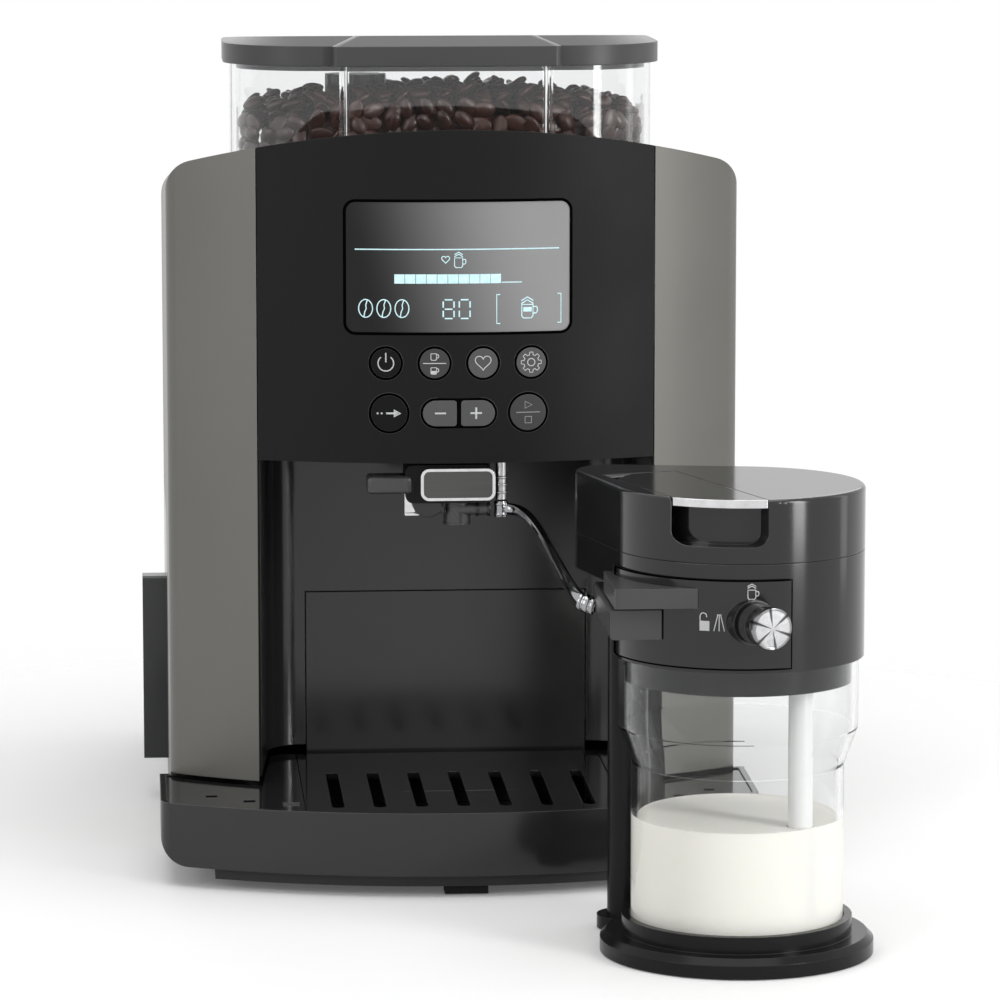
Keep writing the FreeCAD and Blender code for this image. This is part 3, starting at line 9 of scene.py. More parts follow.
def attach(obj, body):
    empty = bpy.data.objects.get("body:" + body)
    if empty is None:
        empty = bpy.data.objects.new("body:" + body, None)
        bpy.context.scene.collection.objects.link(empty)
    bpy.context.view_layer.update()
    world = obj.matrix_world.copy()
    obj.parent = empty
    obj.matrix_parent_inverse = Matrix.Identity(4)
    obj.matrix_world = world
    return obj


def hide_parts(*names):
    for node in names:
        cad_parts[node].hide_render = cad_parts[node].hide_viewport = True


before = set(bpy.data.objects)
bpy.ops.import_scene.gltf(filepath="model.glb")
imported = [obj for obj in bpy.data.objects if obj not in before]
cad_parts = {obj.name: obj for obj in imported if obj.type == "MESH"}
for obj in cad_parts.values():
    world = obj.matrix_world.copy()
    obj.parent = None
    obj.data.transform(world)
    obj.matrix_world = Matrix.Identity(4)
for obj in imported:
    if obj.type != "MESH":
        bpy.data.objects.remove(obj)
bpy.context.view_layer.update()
scene = bpy.context.scene
scene.view_settings.view_transform = "Standard"

MM = 0.001
RANDOM_SEED = 11

# Places shared with the CAD, in millimetres
FRONT_AXIS_Y = 65.5
FRONT_R = 200.0
SCREEN_R = 199.8
BUTTON_R = 200.4
CARAFE_AT = (95.2, -280.0)
PLATE_R = 48.0
ROW_1_Z = 206.3
ROW_2_Z = 186.2
ROW_1_X = (-29.1, -9.7, 9.7, 29.1)
ROW_2_X = (-27.8, 27.8)
SMALL_BUTTON_R = 5.9
LARGE_BUTTON_R = 7.2
ROUND_BUTTONS = [(x, ROW_1_Z, SMALL_BUTTON_R) for x in ROW_1_X]
ROUND_BUTTONS += [(x, ROW_2_Z, LARGE_BUTTON_R) for x in ROW_2_X]
KEY_INNER_X = 0.9
KEY_OUTER_X = 14.4
KEY_HALF_H = 5.15

# Values shared by several pieces
SOFT_EDGE_DEG = 35
PRINT_PRESS = 0.25
FINE_LINE = 0.42
PLAIN_LINE = 0.55
BOLD_LINE = 0.85
METAL_EDGE = 0.3


# Working by hand: selecting, shaping, joining


def only(obj):
    bpy.ops.object.select_all(action="DESELECT")
    obj.select_set(True)
    bpy.context.view_layer.objects.active = obj
    return obj


def apply_place(obj):
    only(obj)
    bpy.ops.object.transform_apply(location=True, rotation=True, scale=True)
    return obj


def modify(obj, kind, **settings):
    """Adds one modifier with its settings and applies it."""
    only(obj)
    modifier = obj.modifiers.new(kind.lower(), kind)
    for key, value in settings.items():
        setattr(modifier, key, value)
    bpy.ops.object.modifier_apply(modifier=modifier.name)
    return obj


def soften(obj, width, segments=2):
    return modify(obj, "BEVEL", width=width * MM, segments=segments, limit_method="ANGLE",
                  angle_limit=math.radians(SOFT_EDGE_DEG), use_clamp_overlap=True)


def smooth(obj, angle=SOFT_EDGE_DEG):
    only(obj)
    bpy.ops.object.shade_smooth_by_angle(angle=math.radians(angle))
    return obj


def join(objects):
    bpy.ops.object.select_all(action="DESELECT")
    for obj in objects:
        obj.select_set(True)
    bpy.context.view_layer.objects.active = objects[0]
    if len(objects) > 1:
        bpy.ops.object.join()
    return bpy.context.view_layer.objects.active


def pick_faces(obj, test):
    """Opens edit mode with only the faces selected whose middle and normal pass a test."""
    only(obj)
    bpy.ops.object.mode_set(mode="EDIT")
    bpy.ops.mesh.select_all(action="DESELECT")
    bpy.ops.object.mode_set(mode="OBJECT")
    for face in obj.data.polygons:
        face.select = test(face.center, face.normal)
    bpy.ops.object.mode_set(mode="EDIT")
    bpy.ops.mesh.select_mode(type="FACE")


def done_editing():
    bpy.ops.object.mode_set(mode="OBJECT")


def settle(obj, name, finish, body, stands_for=()):
    """Names a finished piece, puts its place into its mesh and lets it ride on its body."""
    apply_place(obj)
    obj.name = name
    obj.data.name = name
    obj.data.materials.clear()
    obj.data.materials.append(finish)
    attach(obj, body)
    if stands_for:
        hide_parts(*stands_for)
    return obj


def block(x0, x1, y0, y1, z0, z1, edge=0.3, segments=2):
    """Box with softened edges, in millimetres."""
    middle = ((x0 + x1) / 2 * MM, (y0 + y1) / 2 * MM, (z0 + z1) / 2 * MM)
    bpy.ops.mesh.primitive_cube_add(size=1, location=middle)
    obj = bpy.context.object
    obj.scale = ((x1 - x0) * MM, (y1 - y0) * MM, (z1 - z0) * MM)
    apply_place(obj)
    return smooth(soften(obj, edge, segments))


def round_bar(start, end, radius, edge=0.3, sides=48):
    """Turned bar between two points, with softened ends, in millimetres."""
    first = Vector(start) * MM
    last = Vector(end) * MM
    run = last - first
    bpy.ops.mesh.primitive_cylinder_add(vertices=sides, radius=radius * MM, depth=run.length,
                                        location=(first + last) / 2)
    obj = bpy.context.object
    obj.rotation_mode = "QUATERNION"
    obj.rotation_quaternion = run.to_track_quat("Z", "Y")
    apply_place(obj)
    return smooth(soften(obj, edge))


# Thin prints: icons and display figures


def drawn(strokes, width):
    """Thin raised lines in the upright plane, as one mesh. A stroke is its points and whether it closes."""
    curve = bpy.data.curves.new("lines", "CURVE")
    curve.dimensions = "3D"
    curve.bevel_depth = width / 2 * MM
    curve.bevel_resolution = 1
    curve.use_fill_caps = True
    for points, closed in strokes:
        spline = curve.splines.new("POLY")
        spline.points.add(len(points) - 1)
        for spot, (x, z) in zip(spline.points, points):
            spot.co = (x * MM, 0, z * MM, 1)
        spline.use_cyclic_u = closed
    obj = bpy.data.objects.new("lines", curve)
    scene.collection.objects.link(obj)
    only(obj)
    bpy.ops.object.convert(target="MESH")
    return bpy.context.object


def tile(x0, x1, z0, z1, thick=0.1):
    """Flat filled patch in the upright plane."""
    bpy.ops.mesh.primitive_plane_add(size=1, location=((x0 + x1) / 2 * MM, 0, (z0 + z1) / 2 * MM),
                                     rotation=(math.radians(90), 0, 0))
    obj = bpy.context.object
    obj.scale = ((x1 - x0) * MM, (z1 - z0) * MM, 1)
    apply_place(obj)
    bpy.ops.object.mode_set(mode="EDIT")
    bpy.ops.mesh.select_all(action="SELECT")
    bpy.ops.mesh.extrude_region_move(TRANSFORM_OT_translate={"value": (0, -thick * MM, 0)})
    bpy.ops.mesh.select_all(action="SELECT")
    bpy.ops.mesh.normals_make_consistent(inside=False)
    done_editing()
    return obj


def arc(x, z, radius, start, end, steps=20, stretch=1.0):
    """Points on an arc, with angles in degrees from the right, turning left."""
    points = []
    for index in range(steps + 1):
        angle = math.radians(start + (end - start) * index / steps)
        points.append((x + radius * math.cos(angle), z + radius * stretch * math.sin(angle)))
    return points


def ring(x, z, radius, steps=28, stretch=1.0):
    return (arc(x, z, radius, 0, 360, steps, stretch)[:-1], True)


def straight(x0, z0, x1, z1, steps=1):
    return ([(x0 + (x1 - x0) * i / steps, z0 + (z1 - z0) * i / steps) for i in range(steps + 1)], False)


def moved(strokes, x, z, size=1.0):
    """Strokes at another place and size."""
    return [([(x + px * size, z + pz * size) for px, pz in points], closed) for points, closed in strokes]


def lay_on(obj, axis_x, axis_y, radius):
    """Bends a flat drawing round an upright cylinder and presses it nearly flush."""
    for vertex in obj.data.vertices:
        across = vertex.co.x / MM - axis_x
        vertex.co.y = (axis_y - math.sqrt(radius ** 2 - across ** 2)) * MM + vertex.co.y * PRINT_PRESS
    obj.data.update()
    return obj


def on_front(obj, radius):
    return lay_on(obj, 0, FRONT_AXIS_Y, radius)


def heart_outline(size, steps=28, full_reach=17):
    points = []
    for index in range(steps):
        t = 2 * math.pi * index / steps
        x = 16 * math.sin(t) ** 3
        z = 13 * math.cos(t) - 5 * math.cos(2 * t) - 2 * math.cos(3 * t) - math.cos(4 * t)
        points.append((x / full_reach * size, z / full_reach * size))
    return [(points, True)]


def cup_outline(size):
    """Mug with a handle at its right."""
    body = [(-0.75, 0.7), (-0.75, -0.6), (-0.55, -0.85), (0.35, -0.85), (0.55, -0.6), (0.55, 0.7)]
    handle = [(0.55, 0.45), (0.95, 0.45), (1.05, 0.3), (1.05, -0.1), (0.9, -0.3), (0.55, -0.3)]
    return moved([(body, True), (handle, False)], 0, 0, size)


def roof_outline(size):
    """Two chevrons, as steam over a mug."""
    chevrons = [([(-0.8, rise), (-0.1, rise + 0.42), (0.6, rise)], False) for rise in (0.0, 0.34)]
    return moved(chevrons, 0, 0, size)


GEAR_TEETH = 8
TOOTH_CORNERS = ((-0.32, 0.74), (-0.2, 1.0), (0.2, 1.0), (0.32, 0.74))


def gear_outline(size):
    """Toothed wheel with a round hole."""
    points = []
    for index in range(GEAR_TEETH):
        for share, radius in TOOTH_CORNERS:
            angle = 2 * math.pi * (index + share) / GEAR_TEETH
            points.append((radius * size * math.cos(angle), radius * size * math.sin(angle)))
    return [(points, True), ring(0, 0, 0.36 * size, 18)]


def bean_outline(size):
    """Upright bean with a curved crease."""
    crease = [(0.25, 1.2), (0.02, 0.5), (0.1, 0.0), (-0.12, -0.5), (-0.25, -1.2)]
    return [ring(0, 0, size, 24, 1.3), *moved([(crease, False)], 0, 0, size)]


SEGMENTS = {
    "a": (0, 2, 1, 2), "b": (1, 1, 1, 2), "c": (1, 0, 1, 1), "d": (0, 0, 1, 0),
    "e": (0, 0, 0, 1), "f": (0, 1, 0, 2), "g": (0, 1, 1, 1),
}
SEGMENT_GAP = 0.14


def digit(lit, x, z, wide, high):
    """Seven-segment figure from the names of its lit segments."""
    strokes = []
    for name in lit:
        x0, z0, x1, z1 = SEGMENTS[name]
        start = Vector((x + x0 * wide, z + z0 * high / 2))
        end = Vector((x + x1 * wide, z + z1 * high / 2))
        trim = (end - start).normalized() * SEGMENT_GAP * wide
        start += trim
        end -= trim
        strokes.append(straight(start.x, start.y, end.x, end.y))
    return strokes


# Finishes


def make_group(name, inputs, outputs):
    group = bpy.data.node_groups.new(name, "ShaderNodeTree")
    for label, kind, value in inputs:
        socket = group.interface.new_socket(label, in_out="INPUT", socket_type="NodeSocket" + kind)
        socket.default_value = value
    for label, kind in outputs:
        group.interface.new_socket(label, in_out="OUTPUT", socket_type="NodeSocket" + kind)
    return group, group.nodes.new("NodeGroupInput"), group.nodes.new("NodeGroupOutput")


def add(tree, kind, **settings):
    node = tree.nodes.new("ShaderNode" + kind)
    for key, value in settings.items():
        setattr(node, key, value)
    return node


def spread(tree, source, low, high, to_low, to_high):
    """Map Range node with fixed ends, fed by one value."""
    node = add(tree, "MapRange")
    for index, value in ((1, low), (2, high), (3, to_low), (4, to_high)):
        node.inputs[index].default_value = value
    tree.links.new(source, node.inputs[0])
    return node


def mixed(tree, blend, factor, first, second):
    """Colour mix whose inputs are sockets, numbers or colours."""
    node = add(tree, "Mix", data_type="RGBA", blend_type=blend)
    for socket, value in ((node.inputs[0], factor), (node.inputs[6], first), (node.inputs[7], second)):
        if hasattr(value, "is_linked"):
            tree.links.new(value, socket)
        else:
            socket.default_value = value
    return node.outputs[2]


def moulded_group():
    """Moulded plastic or paint: fine grain, soft edges, broad unevenness, and edges made slightly paler,
    partly as wear and partly as a painted edge highlight.
    """
    group, given, result = make_group(
        "moulded_surface",
        [("Colour", "Color", (0.1, 0.1, 0.1, 1)), ("Unevenness", "Float", 0.08), ("Grain", "Float", 900.0),
         ("Depth", "Float", 0.1), ("Roughness", "Float", 0.4), ("Smears", "Float", 0.08),
         ("Edge", "Float", 0.0005), ("Edge_wear_and_sheen", "Float", 0.1)],
        [("Colour", "Color"), ("Roughness", "Float"), ("Normal", "Vector")])
    link = group.links.new
    place = add(group, "TexCoord").outputs["Object"]
    fine = add(group, "TexNoise")
    link(place, fine.inputs["Vector"])
    link(given.outputs["Grain"], fine.inputs["Scale"])
    broad = add(group, "TexNoise")
    broad.inputs["Scale"].default_value = 17.0
    broad.inputs["Detail"].default_value = 4.0
    link(place, broad.inputs["Vector"])
    edge = add(group, "Bevel", samples=4)
    link(given.outputs["Edge"], edge.inputs["Radius"])
    bump = add(group, "Bump")
    bump.inputs["Distance"].default_value = 0.0002
    link(given.outputs["Depth"], bump.inputs["Strength"])
    link(fine.outputs[0], bump.inputs["Height"])
    link(edge.outputs[0], bump.inputs["Normal"])
    link(bump.outputs[0], result.inputs["Normal"])
    swing = spread(group, broad.outputs[0], 0.3, 0.7, -1.0, 1.0)
    tone = add(group, "Math", operation="MULTIPLY_ADD")
    link(swing.outputs[0], tone.inputs[0])
    link(given.outputs["Unevenness"], tone.inputs[1])
    tone.inputs[2].default_value = 1.0
    shaded = mixed(group, "MULTIPLY", 1.0, given.outputs["Colour"], tone.outputs[0])
    # Edge mask for the paler edges: partly wear, partly a painted edge highlight screened towards grey.
    facing = add(group, "VectorMath", operation="DOT_PRODUCT")
    link(add(group, "NewGeometry").outputs["True Normal"], facing.inputs[0])
    link(edge.outputs[0], facing.inputs[1])
    rim = spread(group, facing.outputs["Value"], 0.99, 0.75, 0.0, 1.0)
    worn_and_sheened_edges = add(group, "Math", operation="MULTIPLY")
    link(rim.outputs[0], worn_and_sheened_edges.inputs[0])
    link(given.outputs["Edge_wear_and_sheen"], worn_and_sheened_edges.inputs[1])
    link(mixed(group, "SCREEN", worn_and_sheened_edges.outputs[0], shaded, (0.4, 0.4, 0.4, 1)), result.inputs["Colour"])
    smear = add(group, "Math", operation="MULTIPLY_ADD")
    link(swing.outputs[0], smear.inputs[0])
    link(given.outputs["Smears"], smear.inputs[1])
    link(given.outputs["Roughness"], smear.inputs[2])
    link(smear.outputs[0], result.inputs["Roughness"])
    return group


def brushed_group():
    """Metal with fine lines drawn out along one direction."""
    group, given, result = make_group(
        "brushed_metal",
        [("Colour", "Color", (0.6, 0.6, 0.6, 1)), ("Lines", "Vector", (40, 40, 4000)),
         ("Depth", "Float", 0.2), ("Roughness", "Float", 0.3), ("Edge", "Float", 0.0003)],
        [("Colour", "Color"), ("Roughness", "Float"), ("Normal", "Vector")])
    link = group.links.new
    place = add(group, "TexCoord").outputs["Object"]
    stretched = add(group, "Mapping")
    link(place, stretched.inputs["Vector"])
    link(given.outputs["Lines"], stretched.inputs["Scale"])
    lines = add(group, "TexNoise")
    lines.inputs["Scale"].default_value = 1.0
    lines.inputs["Detail"].default_value = 3.0
    link(stretched.outputs[0], lines.inputs["Vector"])
    edge = add(group, "Bevel", samples=4)
    link(given.outputs["Edge"], edge.inputs["Radius"])
    bump = add(group, "Bump")
    bump.inputs["Distance"].default_value = 0.0001
    link(given.outputs["Depth"], bump.inputs["Strength"])
    link(lines.outputs[0], bump.inputs["Height"])
    link(edge.outputs[0], bump.inputs["Normal"])
    link(bump.outputs[0], result.inputs["Normal"])
    swing = spread(group, lines.outputs[0], 0.3, 0.7, 0.88, 1.06)
    link(mixed(group, "MULTIPLY", 1.0, given.outputs["Colour"], swing.outputs[0]), result.inputs["Colour"])
    rough = add(group, "Math", operation="MULTIPLY")
    link(swing.outputs[0], rough.inputs[0])
    link(given.outputs["Roughness"], rough.inputs[1])
    link(rough.outputs[0], result.inputs["Roughness"])
    return group


MOULDED = moulded_group()
BRUSHED = brushed_group()


def surfaced(name, group, values, sockets):
    """Material whose Principled shader takes colour, roughness and normal from a group."""
    material = bpy.data.materials.new(name)
    material.use_nodes = True
    tree = material.node_tree
    shader = tree.nodes["Principled BSDF"]
    surface = add(tree, "Group", node_tree=group)
    for key, value in values.items():
        surface.inputs[key].default_value = value
    tree.links.new(surface.outputs["Colour"], shader.inputs["Base Color"])
    tree.links.new(surface.outputs["Roughness"], shader.inputs["Roughness"])
    tree.links.new(surface.outputs["Normal"], shader.inputs["Normal"])
    for key, value in sockets.items():
        shader.inputs[key].default_value = value
    return material


def plastic(name, colour, roughness, grain=900.0, depth=0.1, unevenness=0.06, smears=0.05, edge=0.5,
            rubbing=0.1, specular=0.5, **sockets):
    """Moulded or painted finish. The edge is in millimetres, and sockets are the shader's own."""
    values = {"Colour": (*colour, 1), "Unevenness": unevenness, "Grain": grain, "Depth": depth,
              "Roughness": roughness, "Smears": smears, "Edge": edge * MM, "Edge_wear_and_sheen": rubbing}
    return surfaced(name, MOULDED, values, {"Specular IOR Level": specular, **sockets})


def metal(name, colour, roughness, lines=(40, 40, 4000), depth=0.15):
    """Metal finish with fine lines drawn out along the axes of the small numbers."""
    values = {"Colour": (*colour, 1), "Lines": lines, "Depth": depth, "Roughness": roughness,
              "Edge": METAL_EDGE * MM}
    return surfaced(name, BRUSHED, values, {"Metallic": 1.0})


HAZE_ROUGHNESS = 0.03


def clear_plastic(name, colour, ior):
    """Clear moulding with faint haze in its gloss, which lets light through to what it holds."""
    material = bpy.data.materials.new(name)
    material.use_nodes = True
    tree = material.node_tree
    shader = tree.nodes["Principled BSDF"]
    shader.inputs["Base Color"].default_value = (*colour, 1)
    shader.inputs["Transmission Weight"].default_value = 1.0
    shader.inputs["IOR"].default_value = ior
    haze = add(tree, "TexNoise")
    haze.inputs["Scale"].default_value = 24.0
    haze.inputs["Detail"].default_value = 3.0
    tree.links.new(add(tree, "TexCoord").outputs["Object"], haze.inputs["Vector"])
    tree.links.new(spread(tree, haze.outputs[0], 0.35, 0.75, 0.0, HAZE_ROUGHNESS).outputs[0],
                   shader.inputs["Roughness"])
    path = add(tree, "LightPath")
    passing = add(tree, "Math", operation="MAXIMUM")
    tree.links.new(path.outputs["Is Shadow Ray"], passing.inputs[0])
    tree.links.new(path.outputs["Is Diffuse Ray"], passing.inputs[1])
    blend = add(tree, "MixShader")
    tree.links.new(passing.outputs[0], blend.inputs[0])
    tree.links.new(shader.outputs[0], blend.inputs[1])
    tree.links.new(add(tree, "BsdfTransparent").outputs[0], blend.inputs[2])
    tree.links.new(blend.outputs[0], tree.nodes["Material Output"].inputs["Surface"])
    return material


def milky(weight, radius):
    """Sockets of a finish that lets light in a few millimetres."""
    return {"Subsurface Weight": weight, "Subsurface Radius": radius, "Subsurface Scale": 1.0}


BUTTON_FEEL = {"grain": 2400, "depth": 0.12, "edge": 0.35, "rubbing": 0.2}
POLISHED = {"lines": (200, 200, 200), "depth": 0.01}
STRIP_PAINT = plastic("strip_paint", (0.140, 0.138, 0.125), 0.40, grain=2600, depth=0.05, unevenness=0.03,
                      smears=0.03, rubbing=0.12, Metallic=0.55,
                      **{"Coat Weight": 0.15, "Coat Roughness": 0.25})
FASCIA_BLACK = plastic("fascia_black", (0.006, 0.006, 0.0062), 0.48, grain=2200, depth=0.22, specular=0.16)
REAR_BLACK = plastic("rear_black", (0.016, 0.016, 0.017), 0.58, grain=1300, depth=0.35, specular=0.35)
LID_CHARCOAL = plastic("lid_charcoal", (0.054, 0.054, 0.055), 0.36, grain=1800, depth=0.18, specular=0.45)
TRAY_BLACK = plastic("tray_black", (0.016, 0.016, 0.0165), 0.1, grain=1600, depth=0.012)
GRID_GLOSS = plastic("grid_gloss", (0.014, 0.014, 0.0145), 0.09, grain=500, depth=0.012)
BAY_GLOSS = plastic("bay_gloss", (0.024, 0.024, 0.025), 0.17, grain=300, depth=0.015, unevenness=0.04,
                    smears=0.04)
CARAFE_GLOSS = plastic("carafe_gloss", (0.012, 0.012, 0.0125), 0.12, grain=300, depth=0.012, smears=0.03)
BUTTON_GREY = plastic("button_grey", (0.072, 0.072, 0.073), 0.42, **BUTTON_FEEL)
DIM_BUTTON = plastic("dim_button", (0.030, 0.030, 0.0305), 0.42, **BUTTON_FEEL)
DARK_BUTTON = plastic("dark_button", (0.005, 0.005, 0.0051), 0.42, specular=0.12, **BUTTON_FEEL)
# Flat black for the painted shade in the button gaps, also used for the display surround and the plate seam.
GAP_SHADE_AND_TRIM_BLACK = plastic("gap_shade_and_trim_black", (0.0015, 0.0015, 0.0015), 0.7, grain=1200, depth=0.05, edge=0.05,
                     rubbing=0.0, specular=0.0)
INNER_GREY = plastic("inner_grey", (0.16, 0.16, 0.16), 0.55, grain=900, depth=0.2)
BOARD_GREEN = plastic("board_green", (0.02, 0.12, 0.05), 0.4, grain=240, depth=0.15, unevenness=0.2)
# Paler grey for the painted highlight on the rims round the buttons.
RIM_HIGHLIGHT_GREY = plastic("rim_highlight_grey", (0.030, 0.030, 0.030), 0.3, grain=1500, depth=0.04, edge=0.05, rubbing=0.0)
BASE_GLOSS = plastic("base_gloss", (0.010, 0.010, 0.0105), 0.2, grain=300, depth=0.012, smears=0.03,
                     specular=0.14)
DUCT_GREY = plastic("duct_grey", (0.055, 0.055, 0.056), 0.3, grain=900, depth=0.04)
FOOT_RUBBER = plastic("foot_rubber", (0.012, 0.012, 0.012), 0.8, grain=700, depth=0.4, specular=0.2)
TUBE_WHITE = plastic("tube_white", (0.86, 0.87, 0.86), 0.28, grain=500, depth=0.03, rubbing=0.0,
                     **milky(0.2, (0.004, 0.004, 0.004)))
BEAN_ROAST = plastic("bean_roast", (0.040, 0.013, 0.008), 0.36, grain=520, depth=0.35, unevenness=0.55,
                     smears=0.1, edge=0.1, rubbing=0.0)
MILK_WHITE = plastic("milk_white", (0.95, 0.925, 0.85), 0.5, grain=60, depth=0.01, unevenness=0.012,
                     edge=0.2, rubbing=0.0, specular=0.12, **milky(0.4, (0.005, 0.0045, 0.0035)))
STEEL = metal("steel", (0.50, 0.50, 0.50), 0.32)
BADGE_STEEL = metal("badge_steel", (0.105, 0.105, 0.10), 0.36, lines=(30, 30, 5000))
CHROME = metal("chrome", (0.70, 0.70, 0.71), 0.07, **POLISHED)
DARK_CHROME = metal("dark_chrome", (0.36, 0.36, 0.37), 0.08, **POLISHED)
CAST_ALLOY = metal("cast_alloy", (0.52, 0.52, 0.53), 0.45, lines=(700, 700, 700), depth=0.3)
PRINT_PALE = plastic("print_pale", (0.62, 0.63, 0.62), 0.5, grain=1500, depth=0.05, edge=0.02, rubbing=0.0)
PRINT_GREY = plastic("print_grey", (0.30, 0.30, 0.30), 0.5, grain=1500, depth=0.05, edge=0.02, rubbing=0.0)
HOPPER_CLEAR = clear_plastic("hopper_clear", (0.95, 0.96, 0.96), 1.49)
JUG_CLEAR = clear_plastic("jug_clear", (0.985, 0.99, 0.99), 1.2)
TANK_SMOKE = plastic("tank_smoke", (0.030, 0.031, 0.033), 0.2, grain=260, depth=0.02,
                     **{"Transmission Weight": 0.15, "IOR": 1.5})


def screen_glass():
    """Dark glossy lens with a painted reflection: its colour is painted paler towards its right."""
    values = {"Unevenness": 0.02, "Grain": 300.0, "Depth": 0.0, "Roughness": 0.1, "Smears": 0.03,
              "Edge": 0.3 * MM, "Edge_wear_and_sheen": 0.0}
    material = surfaced("screen_glass", MOULDED, values, {"Specular IOR Level": 0.3})
    tree = material.node_tree
    surface = next(node for node in tree.nodes if node.type == "GROUP")
    # Painted reflection: the lens colour goes from near black to pale grey towards its right.
    split = add(tree, "SeparateXYZ")
    tree.links.new(add(tree, "TexCoord").outputs["Object"], split.inputs[0])
    lean = add(tree, "Math", operation="MULTIPLY_ADD")
    tree.links.new(split.outputs["Z"], lean.inputs[0])
    lean.inputs[1].default_value = 0.25
    tree.links.new(split.outputs["X"], lean.inputs[2])
    share = spread(tree, lean.outputs[0], 0.020, 0.098, 0.0, 1.0)
    share.interpolation_type = "SMOOTHSTEP"
    tone = mixed(tree, "MIX", share.outputs[0], (0.002, 0.002, 0.0022, 1), (0.33, 0.33, 0.335, 1))
    tree.links.new(tone, surface.inputs["Colour"])
    return material


def screen_glow():
    """Pale lit figures of the display, with a little unevenness from cell to cell."""
    material = bpy.data.materials.new("screen_glow")
    material.use_nodes = True
    tree = material.node_tree
    shader = tree.nodes["Principled BSDF"]
    cells = add(tree, "TexNoise")
    cells.inputs["Scale"].default_value = 600.0
    tree.links.new(add(tree, "TexCoord").outputs["Object"], cells.inputs["Vector"])
    tone = mixed(tree, "MIX", spread(tree, cells.outputs[0], 0.3, 0.7, 0.0, 1.0).outputs[0],
                 (0.50, 0.76, 0.80, 1), (0.64, 0.86, 0.89, 1))
    tree.links.new(tone, shader.inputs["Base Color"])
    tree.links.new(tone, shader.inputs["Emission Color"])
    shader.inputs["Emission Strength"].default_value = 0.3
    shader.inputs["Roughness"].default_value = 0.4
    return material


SCREEN_GLASS = screen_glass()
SCREEN_GLOW = screen_glow()

NODE_FINISH = {
    FASCIA_BLACK: ("front_panel", "top_cover", "spout_carriage"),
    REAR_BLACK: ("rear_panel", "power_inlet", "base_pan"),
    STRIP_PAINT: ("left_side_panel", "right_side_panel"),
    BAY_GLOSS: ("bay_liner", "grounds_bin"),
    LID_CHARCOAL: ("hopper_lid", "grind_knob", "tank_lid"),
    TRAY_BLACK: ("drip_tray",),
    BASE_GLOSS: ("carafe_base", "carafe_spine"),
    GRID_GLOSS: ("drip_grid",),
    CARAFE_GLOSS: ("carafe_head", "head_cover", "lid_flap", "control_plate", "froth_knob"),
    DUCT_GREY: ("milk_duct", "coffee_outlet"),
    BUTTON_GREY: ("button_favourite", "button_settings", "button_minus", "button_plus", "tray_float"),
    DIM_BUTTON: ("button_two_cups", "button_start"),
    DARK_BUTTON: ("button_power", "button_next"),
    SCREEN_GLASS: ("display_window",),
    INNER_GREY: ("display_module", "grinder_housing", "brew_chamber", "brew_piston", "water_pump"),
    BOARD_GREEN: ("control_board", "power_board"),
    FOOT_RUBBER: ("rubber_feet",),
    STEEL: ("inner_frame", "case_screws", "grinding_burr", "motor_pinion", "grinder_motor", "steam_nozzle"),
    BADGE_STEEL: ("badge_plate",),
    CHROME: ("badge_frame", "milk_tube", "flap_edge", "knob_cap"),
    CAST_ALLOY: ("heater_block",),
    HOPPER_CLEAR: ("bean_hopper",),
    JUG_CLEAR: ("milk_jug",),
    TANK_SMOKE: ("water_tank",),
    TUBE_WHITE: ("suction_tube",),
    BEAN_ROAST: ("coffee_beans",),
    MILK_WHITE: ("milk_fill",),
}
for finish, names in NODE_FINISH.items():
    for name in names:
        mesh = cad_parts[name].data
        mesh.materials.clear()
        mesh.materials.append(finish)


# Coffee beans in the hopper


BEAN_HALF = (5.0, 3.5, 2.3)
FILL_HALF_W = 85.4
FILL_FRONT_Y = -52.4
FILL_WINDOW_Y = -57.4
FILL_BACK_Y = 42.4
FILL_CORNER_R = 33.4
FILL_FLOOR_Z = 270.8
FILL_EDGE_Z = 298.0
FILL_RISE = 8.0
WINDOW_HALF_W = 40
KNOB_AT = (-34.0, 20.0)
KNOB_CLEAR = 18.5
WALL_INSET = 3.3
WALL_STEP = 7.4
LAYER_STEP = 5.6
TOP_STEP_X = 8.6
TOP_STEP_Y = 6.6


def roasted_bean():
    """One bean: a drawn-out ball with a flat, creased side."""
    bpy.ops.mesh.primitive_uv_sphere_add(segments=8, ring_count=6, radius=1,
                                         rotation=(0, math.radians(90), 0))
    bean = apply_place(bpy.context.object)
    bean.scale = tuple(size * MM for size in BEAN_HALF)
    apply_place(bean)
    for vertex in bean.data.vertices:
        if vertex.co.z < 0:
            middle = abs(vertex.co.y) < 0.3 * MM
            vertex.co.z *= 0.15 if middle else 0.62
    only(bean)
    bpy.ops.object.shade_smooth()
    return bean


def fill_top(x):
    return FILL_EDGE_Z + FILL_RISE * (1 - (x / FILL_HALF_W) ** 2)


def wall_spots(inset, step):
    """Places along the inside of the hopper's wall with the direction that faces the wall."""
    half = FILL_HALF_W - inset
    radius = FILL_CORNER_R - inset
    front = FILL_FRONT_Y + inset
    back = FILL_BACK_Y - inset
    spots = []
    run = half - radius
    count = int(2 * run / step)
    for index in range(count + 1):
        x = -run + 2 * run * index / count
        in_window = abs(x) < WINDOW_HALF_W
        spots.append((x, (FILL_WINDOW_Y + inset) if in_window else front, (0, -1)))
        spots.append((x, back, (0, 1)))
    depth = back - front - 2 * radius
    rows = max(1, int(depth / step))
    for side in (-1, 1):
        for index in range(rows + 1):
            spots.append((side * half, front + radius + depth * index / rows, (side, 0)))
        for turn, y in ((-1, front + radius), (1, back - radius)):
            bends = int(radius * math.pi / 2 / step)
            for index in range(1, bends):
                angle = math.pi / 2 * index / bends
                aim = (side * math.cos(angle), turn * math.sin(angle))
                spots.append((side * run + radius * aim[0], y + radius * aim[1], aim))
    return spots


